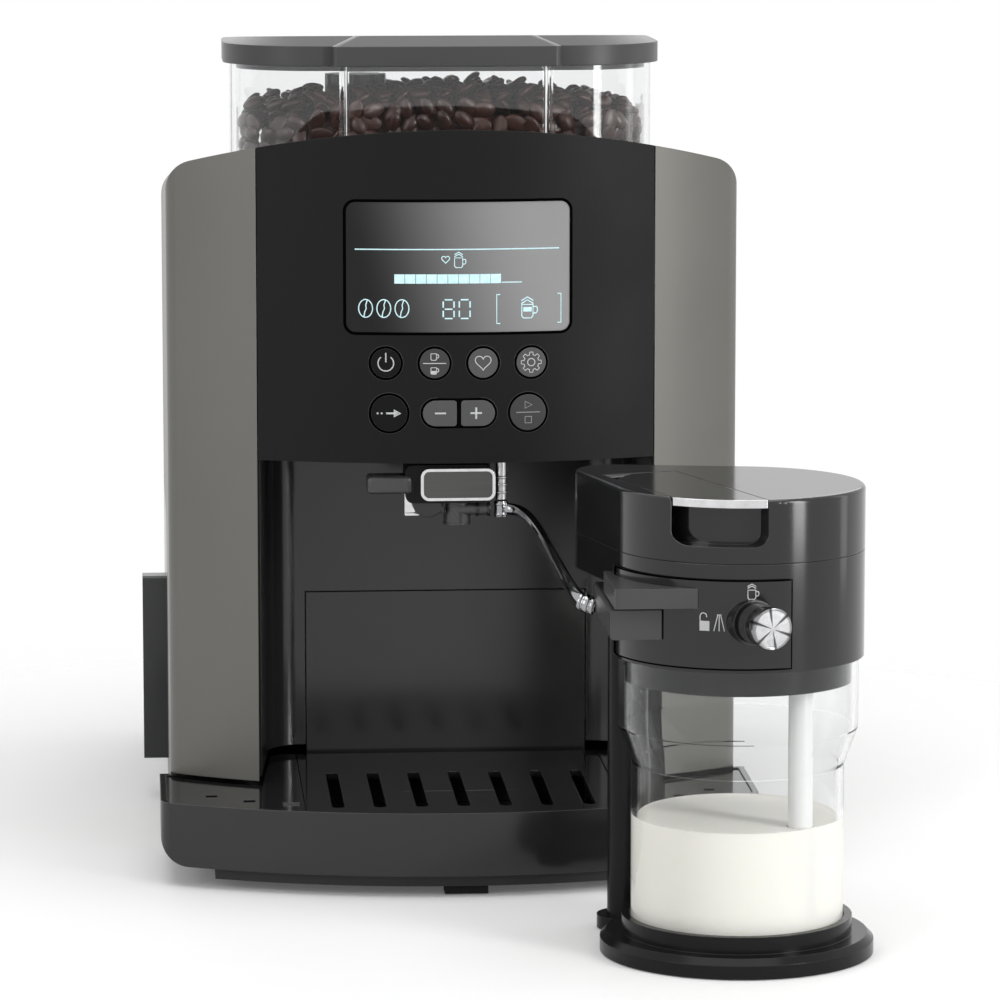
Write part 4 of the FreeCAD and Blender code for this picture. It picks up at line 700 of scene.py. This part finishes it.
def bean_heap():
    """Beans against the clear wall and over the top, around a dark core."""
    chance = random.Random(RANDOM_SEED)
    bean = roasted_bean()
    places = []
    level = FILL_FLOOR_Z + 3.5
    while level < FILL_EDGE_Z + FILL_RISE:
        for x, y, aim in wall_spots(WALL_INSET, WALL_STEP):
            z = level + chance.uniform(-1.6, 1.6)
            if z > fill_top(x) - 2:
                continue
            turn = Matrix.Rotation(chance.uniform(0, math.tau), 4, "Z")
            tilt = Euler((chance.uniform(-0.4, 0.4), chance.uniform(-0.4, 0.4), 0)).to_matrix().to_4x4()
            outward = chance.choice(("Z", "-Z"))
            facing = Vector((aim[0], aim[1], 0)).to_track_quat(outward, "Y").to_matrix().to_4x4()
            slide = chance.uniform(-1.8, 1.8)
            spot = Vector((x - aim[1] * slide, y + aim[0] * slide, max(z, FILL_FLOOR_Z + 3.2)))
            places.append(Matrix.Translation(spot * MM) @ facing @ tilt @ turn)
        level += LAYER_STEP
    x = -FILL_HALF_W + 7
    while x < FILL_HALF_W - 6:
        y = FILL_FRONT_Y + 4
        while y < FILL_BACK_Y - 4:
            spot_x = x + chance.uniform(-2, 2)
            spot_y = y + chance.uniform(-2, 2)
            corner_x = max(0, abs(spot_x) - (FILL_HALF_W - FILL_CORNER_R))
            corner_y = max(0, FILL_FRONT_Y + FILL_CORNER_R - spot_y, spot_y - FILL_BACK_Y + FILL_CORNER_R)
            inside = math.hypot(corner_x, corner_y) < FILL_CORNER_R - 5.5
            if inside and math.dist((spot_x, spot_y), KNOB_AT) > KNOB_CLEAR:
                for lift in (-3.0, 1.0 + 2.6 * chance.random() ** 3):
                    tip = chance.uniform(-0.8, 0.8)
                    roll = chance.uniform(-0.8, 0.8)
                    turn = Euler((tip, roll, chance.uniform(0, math.tau)))
                    spot = Vector((spot_x, spot_y, fill_top(spot_x) + lift + chance.uniform(-1.2, 1.2)))
                    places.append(Matrix.Translation(spot * MM) @ turn.to_matrix().to_4x4())
            y += TOP_STEP_Y
        x += TOP_STEP_X
    beans = [bean]
    for place in places:
        copy = bean.copy()
        copy.data = bean.data.copy()
        copy.data.transform(place)
        scene.collection.objects.link(copy)
        beans.append(copy)
    bean.data.transform(Matrix.Translation(Vector((0, 0, FILL_EDGE_Z)) * MM))
    core_top = FILL_EDGE_Z + 1
    for x0, x1, y0, y1 in ((-72, 72, FILL_FRONT_Y + 9, -1), (-10, 72, -3, FILL_BACK_Y - 9)):
        beans.append(block(x0, x1, y0, y1, FILL_FLOOR_Z + 3, core_top, 6, 3))
    heap = join(beans)
    settle(heap, "bean_heap", BEAN_ROAST, "machine", ("coffee_beans",))


bean_heap()


# Milk in the jug


MILK_R = 37.85
MILK_FLOOR_Z = 10.6
MILK_TOP_Z = 52.0
SUCTION_AT = (115.6, -304.0)
SUCTION_HOLE_R = 4.9


def milk_pool():
    """Milk with a raised rim where it wets the jug, and a hole for the suction tube."""
    bpy.ops.mesh.primitive_circle_add(vertices=128, radius=MILK_R * MM, fill_type="NGON",
                                      location=(CARAFE_AT[0] * MM, CARAFE_AT[1] * MM, MILK_FLOOR_Z * MM))
    pool = apply_place(bpy.context.object)
    bpy.ops.object.mode_set(mode="EDIT")
    bpy.ops.mesh.select_all(action="SELECT")
    height = (MILK_TOP_Z - MILK_FLOOR_Z) * MM
    bpy.ops.mesh.extrude_region_move(TRANSFORM_OT_translate={"value": (0, 0, height)})
    for width, drop in ((0.4, 0.2), (0.7, 0.12), (1.4, 0.06)):
        bpy.ops.mesh.inset(thickness=width * MM)
        bpy.ops.transform.translate(value=(0, 0, -drop * MM))
    bpy.ops.mesh.select_all(action="SELECT")
    bpy.ops.mesh.normals_make_consistent(inside=False)
    done_editing()
    hole = round_bar((*SUCTION_AT, 18.5), (*SUCTION_AT, 70), SUCTION_HOLE_R)
    modify(pool, "BOOLEAN", operation="DIFFERENCE", object=hole, solver="EXACT")
    bpy.data.objects.remove(hole)
    smooth(pool, 40)
    settle(pool, "milk_pool", MILK_WHITE, "carafe", ("milk_fill",))


milk_pool()


# Display figures and button signs


BAR_START_X = -25.7
BAR_LENGTH = 42.7
BAR_CELLS = 10
CELL_GAP = 0.1
DIGIT_SIZE = (4.3, 7.5)
GLOW_LINE = 0.5
DIGIT_LINE = 0.62
ARROW_LINE = 0.9
DOT_HALF = 0.35
GAP_SHADE_OUT = 0.5
RIM_HIGHLIGHT_OUT = 1.05
DENSE_STEP = 3


def figure(name, parts, radius, finish, body):
    """Joins drawn parts, lays them on the bowed front and settles them."""
    piece = on_front(join(parts), radius)
    return settle(piece, name, finish, body)


def lit_figure(name, parts):
    figure(name, parts, SCREEN_R, SCREEN_GLOW, "machine")


def display_figures():
    """Top line with its sign, strength bar, three beans, volume and chosen cup."""
    top_line = drawn([straight(-41.2, 251.8, 40.4, 251.8, 24)], PLAIN_LINE)
    choice = drawn(moved(heart_outline(1.7), -5.2, 247.9) + moved(cup_outline(2.5), 0.2, 246.7)
                   + moved(roof_outline(2.4), 0.2, 248.9), FINE_LINE)
    lit_figure("display_head", [top_line, choice])
    cells = []
    cell_w = BAR_LENGTH / BAR_CELLS
    for index in range(BAR_CELLS):
        x = BAR_START_X + index * cell_w
        cells.append(tile(x + CELL_GAP, x + cell_w - CELL_GAP, 238.2, 241.9))
    cells.append(drawn([straight(17.2, 238.5, 25.4, 238.5, 4)], GLOW_LINE))
    lit_figure("display_bar", cells)
    beans = []
    for x in (-37.0, -29.8, -22.6):
        beans += moved(bean_outline(2.75), x, 228.2)
    lit_figure("display_beans", [drawn(beans, GLOW_LINE)])
    digits = digit("abcdefg", -6.2, 224.2, *DIGIT_SIZE) + digit("abcdef", 0.2, 224.2, *DIGIT_SIZE)
    lit_figure("display_digits", [drawn(digits, DIGIT_LINE)])
    marks = [([(16.6, 233.6), (15.2, 233.6), (15.2, 222.0), (16.6, 222.0)], False),
             ([(39.8, 233.6), (41.2, 233.6), (41.2, 222.0), (39.8, 222.0)], False)]
    marks += moved(cup_outline(3.5), 27.9, 227.0) + moved(roof_outline(3.5), 27.9, 229.8)
    cup = drawn(marks, GLOW_LINE)
    level = tile(25.9, 29.3, 226.6, 228.4)
    lit_figure("display_cup", [cup, level])


def sign(button, parts, finish=PRINT_PALE):
    """Print on a button, which moves with it."""
    figure("sign_" + button, parts, BUTTON_R, finish, "button_" + button)


def button_signs():
    """Plain signs: power, two cups, heart, gear, arrow, minus, plus and start with stop."""
    power_x, cups_x, heart_x, gear_x = ROW_1_X
    sign("power", [drawn([(arc(power_x, ROW_1_Z, 3.1, 128, 412, 28), False),
                          straight(power_x, ROW_1_Z + 0.4, power_x, ROW_1_Z + 4.2)], PLAIN_LINE)])
    upper_cup = moved(cup_outline(1.7), cups_x - 0.2, ROW_1_Z + 2.7)
    lower_cup = moved(cup_outline(1.7), cups_x - 0.2, ROW_1_Z - 2.9)
    between = straight(cups_x - 4.6, ROW_1_Z, cups_x + 4.6, ROW_1_Z, 4)
    cups = drawn([*upper_cup, *lower_cup, between], FINE_LINE)
    sign("two_cups", [cups, tile(-11.0, -9.2, ROW_1_Z - 4.1, ROW_1_Z - 3.0)])
    sign("favourite", [drawn(moved(heart_outline(3.4), heart_x, ROW_1_Z + 0.4), FINE_LINE)])
    sign("settings", [drawn(moved(gear_outline(4.1), gear_x, ROW_1_Z), FINE_LINE)])
    head = [([(-25.8, ROW_2_Z + 1.3), (-23.4, ROW_2_Z), (-25.8, ROW_2_Z - 1.3)], True),
            ([(-25.5, ROW_2_Z + 0.6), (-24.4, ROW_2_Z), (-25.5, ROW_2_Z - 0.6)], True)]
    arrow = drawn(head + [straight(-29.0, ROW_2_Z, -25.0, ROW_2_Z)], ARROW_LINE)
    dots = [tile(x - DOT_HALF, x + DOT_HALF, ROW_2_Z - DOT_HALF, ROW_2_Z + DOT_HALF) for x in (-32.4, -30.8)]
    sign("next", [arrow, *dots])
    sign("minus", [drawn([straight(-9.6, ROW_2_Z, -5.2, ROW_2_Z, 3)], BOLD_LINE)])
    sign("plus", [drawn([straight(4.6, ROW_2_Z, 9.2, ROW_2_Z, 3),
                         straight(6.9, ROW_2_Z - 2.3, 6.9, ROW_2_Z + 2.3)], BOLD_LINE)])
    triangle = ([(26.6, ROW_2_Z + 4.4), (26.6, ROW_2_Z + 1.6), (29.4, ROW_2_Z + 3.0)], True)
    square = ([(26.6, ROW_2_Z - 1.7), (29.2, ROW_2_Z - 1.7),
               (29.2, ROW_2_Z - 4.3), (26.6, ROW_2_Z - 4.3)], True)
    start = drawn([triangle, square, straight(23.0, ROW_2_Z, 32.6, ROW_2_Z, 4)], FINE_LINE)
    sign("start", [start], PRINT_GREY)


def key_path(grow, side):
    """Outline round one of the two joined keys."""
    high = KEY_HALF_H + grow
    centre = KEY_OUTER_X - KEY_HALF_H
    inner = KEY_INNER_X - grow
    points = [(inner, ROW_2_Z - high), (inner, ROW_2_Z + high)]
    points += arc(centre, ROW_2_Z, high, 90, -90, 18)
    return ([(side * x, z) for x, z in points], True)


def button_rings(grow):
    return [ring(x, z, radius + grow, 48) for x, z, radius in ROUND_BUTTONS]


def panel_line(name, strokes, width, finish):
    figure(name, [drawn(strokes, width)], FRONT_R, finish, "machine")


def gap_shade_rims_and_surround():
    """A dark ring of painted shade for the gap round each button, a fine paler rim of painted highlight
    outside it, and the display's black surround.
    """
    # Painted shade: dark rings standing for the shaded gaps round the buttons and keys.
    gap_shade_rings = button_rings(GAP_SHADE_OUT) + [key_path(GAP_SHADE_OUT, 1), key_path(GAP_SHADE_OUT, -1)]
    panel_line("button_gap_shade", gap_shade_rings, 1.1, GAP_SHADE_AND_TRIM_BLACK)
    # Painted highlight: fine paler rims round the buttons and keys.
    right_bow = key_path(RIM_HIGHLIGHT_OUT, 1)[0][2:]
    left_bow = key_path(RIM_HIGHLIGHT_OUT, -1)[0][2:]
    panel_line("button_rim_highlights", button_rings(RIM_HIGHLIGHT_OUT) + [(left_bow[::-1] + right_bow, True)], 0.26, RIM_HIGHLIGHT_GREY)
    left, right, low, high, corner = -45.3, 45.3, 218.1, 271.2, 4.3
    outline = []
    for x, z, start in ((right - corner, high - corner, 90), (right - corner, low + corner, 0),
                        (left + corner, low + corner, -90), (left + corner, high - corner, -180)):
        outline += arc(x, z, corner, start, start - 90, 8)
    dense = []
    for (x0, z0), (x1, z1) in zip(outline, outline[1:] + outline[:1]):
        steps = max(1, int(math.dist((x0, z0), (x1, z1)) / DENSE_STEP))
        dense += straight(x0, z0, x1, z1, steps)[0][:-1]
    panel_line("display_surround", [(dense, True)], 1.3, GAP_SHADE_AND_TRIM_BLACK)


display_figures()
button_signs()
gap_shade_rims_and_surround()


# Spout details, milk pipe and rear screws


TUBE_ROUTE = ((17.6, -124.0, 146.0), (22.0, -124.0, 146.0), (28.0, -127.0, 145.2), (31.0, -175.0, 140.4),
              (35.0, -235.0, 132.8), (38.0, -250.0, 129.6), (41.0, -253.6, 128.0), (44.0, -255.0, 127.0))
TUBE_R = 2.4
NOZZLE_AT = (17.6, -124)
SCREW_X = 68
SCREW_Z = (22, 244)


def milk_pipe():
    """Polished pipe on one smooth line, with its elbow under the nozzle and its ringed end at the carafe."""
    curve = bpy.data.curves.new("pipe", "CURVE")
    curve.dimensions = "3D"
    curve.bevel_depth = TUBE_R * MM
    curve.bevel_resolution = 6
    curve.resolution_u = 10
    curve.use_fill_caps = True
    spline = curve.splines.new("NURBS")
    spline.points.add(len(TUBE_ROUTE) - 1)
    for spot, point in zip(spline.points, TUBE_ROUTE):
        spot.co = (*(value * MM for value in point), 1)
    spline.order_u = 4
    spline.use_endpoint_u = True
    pipe = bpy.data.objects.new("pipe", curve)
    scene.collection.objects.link(pipe)
    only(pipe)
    bpy.ops.object.convert(target="MESH")
    pipe = smooth(bpy.context.object, 50)
    elbow = [round_bar((*NOZZLE_AT, 142.8), (*NOZZLE_AT, 149.4), 2.7, 0.4)]
    for z in (144.0, 148.2):
        elbow.append(round_bar((*NOZZLE_AT, z - 0.6), (*NOZZLE_AT, z + 0.6), 3.0, 0.5))
    end = Vector(TUBE_ROUTE[-1])
    back = (Vector(TUBE_ROUTE[-2]) - end).normalized()
    ringed = []
    for start, length, radius in ((0.3, 6.4, 3.0), (0.3, 1.6, 3.5), (2.6, 2.2, 3.5), (5.5, 1.4, 3.4)):
        ringed.append(round_bar(end + back * start, end + back * (start + length), radius, 0.35))
    settle(pipe, "milk_pipe", DARK_CHROME, "milk_tube", ("milk_tube",))
    settle(join(elbow + ringed), "pipe_fittings", DARK_CHROME, "milk_tube")


def spout_details():
    """Shell of the finger lever, bright clip and dark cam under it, and ribs on the outlet."""
    clip = [block(-21.3, -16.6, -122.6, -120.8, 143.4, 153.4, 0.5),
            block(-21.3, -14.5, -123.0, -120.4, 143.2, 144.6, 0.5)]
    settle(join(clip), "lever_clip", CHROME, "spout")
    lever = block(-36.6, -18.4, -129.7, -116.6, 153.0, 160.2, 1.7, 4)
    settle(lever, "lever_shell", DUCT_GREY, "spout")
    cam = round_bar((-11.8, -126.4, 149.6), (-11.8, -120.2, 149.6), 6.6, 0.5, 64)
    hub = block(-8.2, -4.8, -126.2, -117.0, 144.6, 149.6, 0.5)
    settle(join([cam, hub]), "lever_cam", TRAY_BLACK, "spout")
    collars = []
    for z in (140.1, 147.6):
        collars.append(round_bar((0, -121, z - 0.45), (0, -121, z + 0.45), 5.7, 0.3, 64))
    settle(join(collars), "outlet_collars", DUCT_GREY, "spout")
    cuff = []
    for x in (8.0, 12.6):
        cuff.append(round_bar((x - 0.6, -124, 146), (x + 0.6, -124, 146), 2.9, 0.3, 40))
    settle(join(cuff), "sleeve_cuffs", TRAY_BLACK, "spout")


def screw_heads():
    """Domed heads with a cross, on the rear panel."""
    heads = []
    for x in (-SCREW_X, SCREW_X):
        for z in SCREW_Z:
            head = round_bar((x, 183.5, z), (x, 184.9, z), 3.4, 0.7, 40)
            for wide, high in ((3.8, 0.7), (0.7, 3.8)):
                cut = block(x - wide / 2, x + wide / 2, 184.3, 186, z - high / 2, z + high / 2, 0.05)
                modify(head, "BOOLEAN", operation="DIFFERENCE", object=cut, solver="EXACT")
                bpy.data.objects.remove(cut)
            heads.append(head)
    settle(join(heads), "screw_heads", STEEL, "machine", ("case_screws",))


milk_pipe()
spout_details()
screw_heads()


# Carafe details


FROTH_AT = Vector((94.1, -327.6, 132.7))
FROTH_DEG = 20.0
CAP_START = 12.9
CAP_L = 4.6
CAP_R = 7.7
FACE_WEDGES = 6.0
WEDGE_TURN = 0.35
PLATE_FROM_DEG = -80
PLATE_TO_DEG = 17
PLATE_LOW_Z = 115.0
PLATE_HIGH_Z = 147.8
JETS_X = 82.5


def froth_point(forward):
    angle = math.radians(FROTH_DEG)
    return FROTH_AT + Vector((math.sin(angle), -math.cos(angle), 0)) * forward


def spun_steel():
    """Turned face with painted highlights: bright and dark wedges painted round its middle stand in for
    lathe marks catching the light.
    """
    values = {"Lines": (900, 900, 900), "Depth": 0.02, "Roughness": 0.22, "Edge": 0.2 * MM}
    material = surfaced("spun_steel", BRUSHED, values, {"Metallic": 1.0})
    tree = material.node_tree
    surface = next(node for node in tree.nodes if node.type == "GROUP")
    local = add(tree, "Mapping", vector_type="TEXTURE")
    local.inputs["Location"].default_value = froth_point(CAP_START + CAP_L) * MM
    local.inputs["Rotation"].default_value = (math.radians(90), 0, math.radians(FROTH_DEG))
    tree.links.new(add(tree, "TexCoord").outputs["Object"], local.inputs["Vector"])
    # Painted highlights: the colour is painted bright and dark in wedges round the cap's middle.
    turn = add(tree, "TexGradient", gradient_type="RADIAL")
    tree.links.new(local.outputs[0], turn.inputs["Vector"])
    wedge = add(tree, "Math", operation="MULTIPLY_ADD")
    tree.links.new(turn.outputs[1], wedge.inputs[0])
    wedge.inputs[1].default_value = FACE_WEDGES
    wedge.inputs[2].default_value = WEDGE_TURN
    fold = add(tree, "Math", operation="PINGPONG")
    tree.links.new(wedge.outputs[0], fold.inputs[0])
    fold.inputs[1].default_value = 0.5
    dark = spread(tree, fold.outputs[0], 0.02, 0.13, 0.0, 1.0)
    dark.interpolation_type = "SMOOTHSTEP"
    tone = mixed(tree, "MIX", dark.outputs[0], (0.035, 0.035, 0.035, 1), (0.30, 0.30, 0.305, 1))
    tree.links.new(tone, surface.inputs["Colour"])
    return material


def knob_cap():
    """Turned cap with a fine rim and a shallow dished face."""
    cap = round_bar(froth_point(CAP_START), froth_point(CAP_START + CAP_L), CAP_R, 0.35, 96)
    outward = (froth_point(1) - froth_point(0)).normalized()
    pick_faces(cap, lambda middle, normal: normal.dot(outward) > 0.999)
    bpy.ops.mesh.inset(thickness=0.5 * MM)
    bpy.ops.transform.translate(value=outward * -0.25 * MM)
    bpy.ops.mesh.inset(thickness=0.15 * MM)
    bpy.ops.mesh.poke()
    done_editing()
    settle(smooth(cap, 25), "knob_face", spun_steel(), "froth_knob", ("knob_cap",))
    grooves = []
    for forward in (4.2, 5.6, 7.0, 8.4):
        grooves.append(round_bar(froth_point(forward), froth_point(forward + 0.7), 7.4, 0.25, 72))
    settle(join(grooves), "knob_ribs", CARAFE_GLOSS, "froth_knob")


def plate_seam():
    """Dark seam round the control plate."""
    left = math.radians(PLATE_FROM_DEG)
    right = math.radians(PLATE_TO_DEG)
    steps = 24
    across = [CARAFE_AT[0] + PLATE_R * math.sin(left + (right - left) * i / steps) for i in range(steps + 1)]
    points = [(x, PLATE_HIGH_Z) for x in across] + [(x, PLATE_LOW_Z) for x in reversed(across)]
    seam = drawn([(points, True)], 0.7)
    lay_on(seam, *CARAFE_AT, PLATE_R + 0.02)
    settle(seam, "plate_seam", GAP_SHADE_AND_TRIM_BLACK, "carafe_head")


def plate_signs():
    """Open padlock, water jets and mug on the curved control plate."""
    lock = [([(75.7, 132.7), (78.9, 132.7), (78.9, 129.3), (75.7, 129.3)], True),
            (arc(76.9, 134.6, 1.15, -20, 180, 12) + [(75.75, 132.7)], False)]
    lock_fill = tile(75.8, 78.8, 129.4, 132.6, 0.16)
    jets = []
    for lean in (-1, 0, 1):
        jets.append(straight(JETS_X + lean * 0.55, 135.0, JETS_X + lean * 1.9, 129.2))
    jets.append(straight(81.7, 135.2, 83.3, 135.2))
    mug = moved(cup_outline(2.2), 94.4, 143.0) + moved(roof_outline(2.2), 94.4, 145.1)
    signs = join([drawn(lock + jets + mug, FINE_LINE), lock_fill])
    lay_on(signs, *CARAFE_AT, PLATE_R)
    settle(signs, "plate_signs", PRINT_PALE, "carafe_head")


knob_cap()
plate_seam()
plate_signs()


# Floor, light and camera


FLOOR_R = 1.2
FLOOR_TONE = (0.93, 0.93, 0.93, 1)
FLOOR_NEAR = 0.22
FLOOR_FAR = 0.55
FLOOR_LIFT = 0.08
WHITE = (1, 1, 1, 1)
AMBIENT = 0.45
MACHINE_MIDDLE = (0.0, -0.1, 0.17)
CARAFE_HEAD_AT = (0.095, -0.28, 0.2)
EYE_AT = (-0.1302, -2.1314, 0.436)
EYE_PITCH_DEG = 8.1
EYE_YAW_DEG = 4.2
LENS = 181.73


def floor():
    """Pale round floor that keeps the shadow and fades out into the white surroundings."""
    bpy.ops.mesh.primitive_circle_add(vertices=96, radius=FLOOR_R, fill_type="NGON",
                                      location=(0, -0.05, -0.0004))
    ground = bpy.context.object
    ground.name = "floor"
    material = bpy.data.materials.new("pale_floor")
    material.use_nodes = True
    tree = material.node_tree
    shader = tree.nodes["Principled BSDF"]
    output = tree.nodes["Material Output"]
    shader.inputs["Base Color"].default_value = FLOOR_TONE
    shader.inputs["Roughness"].default_value = 0.7
    shader.inputs["Specular IOR Level"].default_value = 0.1
    reach = add(tree, "VectorMath", operation="LENGTH")
    tree.links.new(add(tree, "TexCoord").outputs["Object"], reach.inputs[0])
    fade = spread(tree, reach.outputs["Value"], FLOOR_NEAR, FLOOR_FAR, 0.0, 1.0)
    fade.interpolation_type = "SMOOTHSTEP"
    seen = add(tree, "LightPath")
    lift = add(tree, "Emission")
    lift.inputs["Color"].default_value = WHITE
    strength = spread(tree, seen.outputs["Is Camera Ray"], 0, 1, 0, FLOOR_LIFT)
    tree.links.new(strength.outputs[0], lift.inputs["Strength"])
    lit = add(tree, "AddShader")
    tree.links.new(shader.outputs[0], lit.inputs[0])
    tree.links.new(lift.outputs[0], lit.inputs[1])
    blend = add(tree, "MixShader")
    tree.links.new(fade.outputs[0], blend.inputs[0])
    tree.links.new(lit.outputs[0], blend.inputs[1])
    tree.links.new(add(tree, "BsdfTransparent").outputs[0], blend.inputs[2])
    tree.links.new(blend.outputs[0], output.inputs["Surface"])
    ground.data.materials.append(material)


def surroundings():
    """White to the camera, in gloss and through glass, and a softer grey as light."""
    world = bpy.data.worlds.new("studio")
    scene.world = world
    world.use_nodes = True
    tree = world.node_tree
    soft = tree.nodes["Background"]
    soft.inputs["Color"].default_value = WHITE
    soft.inputs["Strength"].default_value = AMBIENT
    white = add(tree, "Background")
    white.inputs["Color"].default_value = WHITE
    white.inputs["Strength"].default_value = 1.0
    path = add(tree, "LightPath")
    total = path.outputs["Is Camera Ray"]
    for name in ("Is Glossy Ray", "Is Transmission Ray"):
        step = add(tree, "Math", operation="ADD", use_clamp=True)
        tree.links.new(total, step.inputs[0])
        tree.links.new(path.outputs[name], step.inputs[1])
        total = step.outputs[0]
    blend = add(tree, "MixShader")
    tree.links.new(total, blend.inputs[0])
    tree.links.new(soft.outputs[0], blend.inputs[1])
    tree.links.new(white.outputs[0], blend.inputs[2])
    tree.links.new(blend.outputs[0], tree.nodes["World Output"].inputs["Surface"])


def softbox(name, place, aim, wide, high, power):
    """Soft lamp with its size in metres and its power in watts, unseen by the camera."""
    bpy.ops.object.light_add(type="AREA", location=place)
    lamp = bpy.context.object
    lamp.name = name
    lamp.data.shape = "RECTANGLE"
    lamp.data.size = wide
    lamp.data.size_y = high
    lamp.data.energy = power
    lamp.rotation_mode = "QUATERNION"
    lamp.rotation_quaternion = (Vector(aim) - Vector(place)).to_track_quat("-Z", "Y")
    lamp.visible_camera = False


def camera():
    """Long lens a little above and to the left, as the photograph was taken."""
    data = bpy.data.cameras.new("camera")
    data.sensor_width = 36.0
    data.lens = LENS
    data.clip_end = 20.0
    eye = bpy.data.objects.new("camera", data)
    scene.collection.objects.link(eye)
    pitch = math.radians(EYE_PITCH_DEG)
    yaw = math.radians(EYE_YAW_DEG)
    forward = Vector((math.sin(yaw) * math.cos(pitch), math.cos(yaw) * math.cos(pitch), -math.sin(pitch)))
    eye.location = EYE_AT
    eye.rotation_mode = "QUATERNION"
    eye.rotation_quaternion = forward.to_track_quat("-Z", "Y")
    scene.camera = eye


floor()
surroundings()
softbox("overhead", (0.0, -0.2, 1.9), MACHINE_MIDDLE, 1.6, 1.6, 16)
softbox("key_left", (-1.5, -1.5, 1.0), MACHINE_MIDDLE, 1.0, 1.4, 9)
softbox("tall_right", (0.764, -0.882, 0.41), CARAFE_HEAD_AT, 0.20, 0.8, 5.4)
softbox("side_right", (1.7, 0.1, 0.55), MACHINE_MIDDLE, 0.3, 1.4, 1.6)
softbox("back_wash", (0.2, 1.8, 1.2), MACHINE_MIDDLE, 1.6, 1.0, 8)
camera()
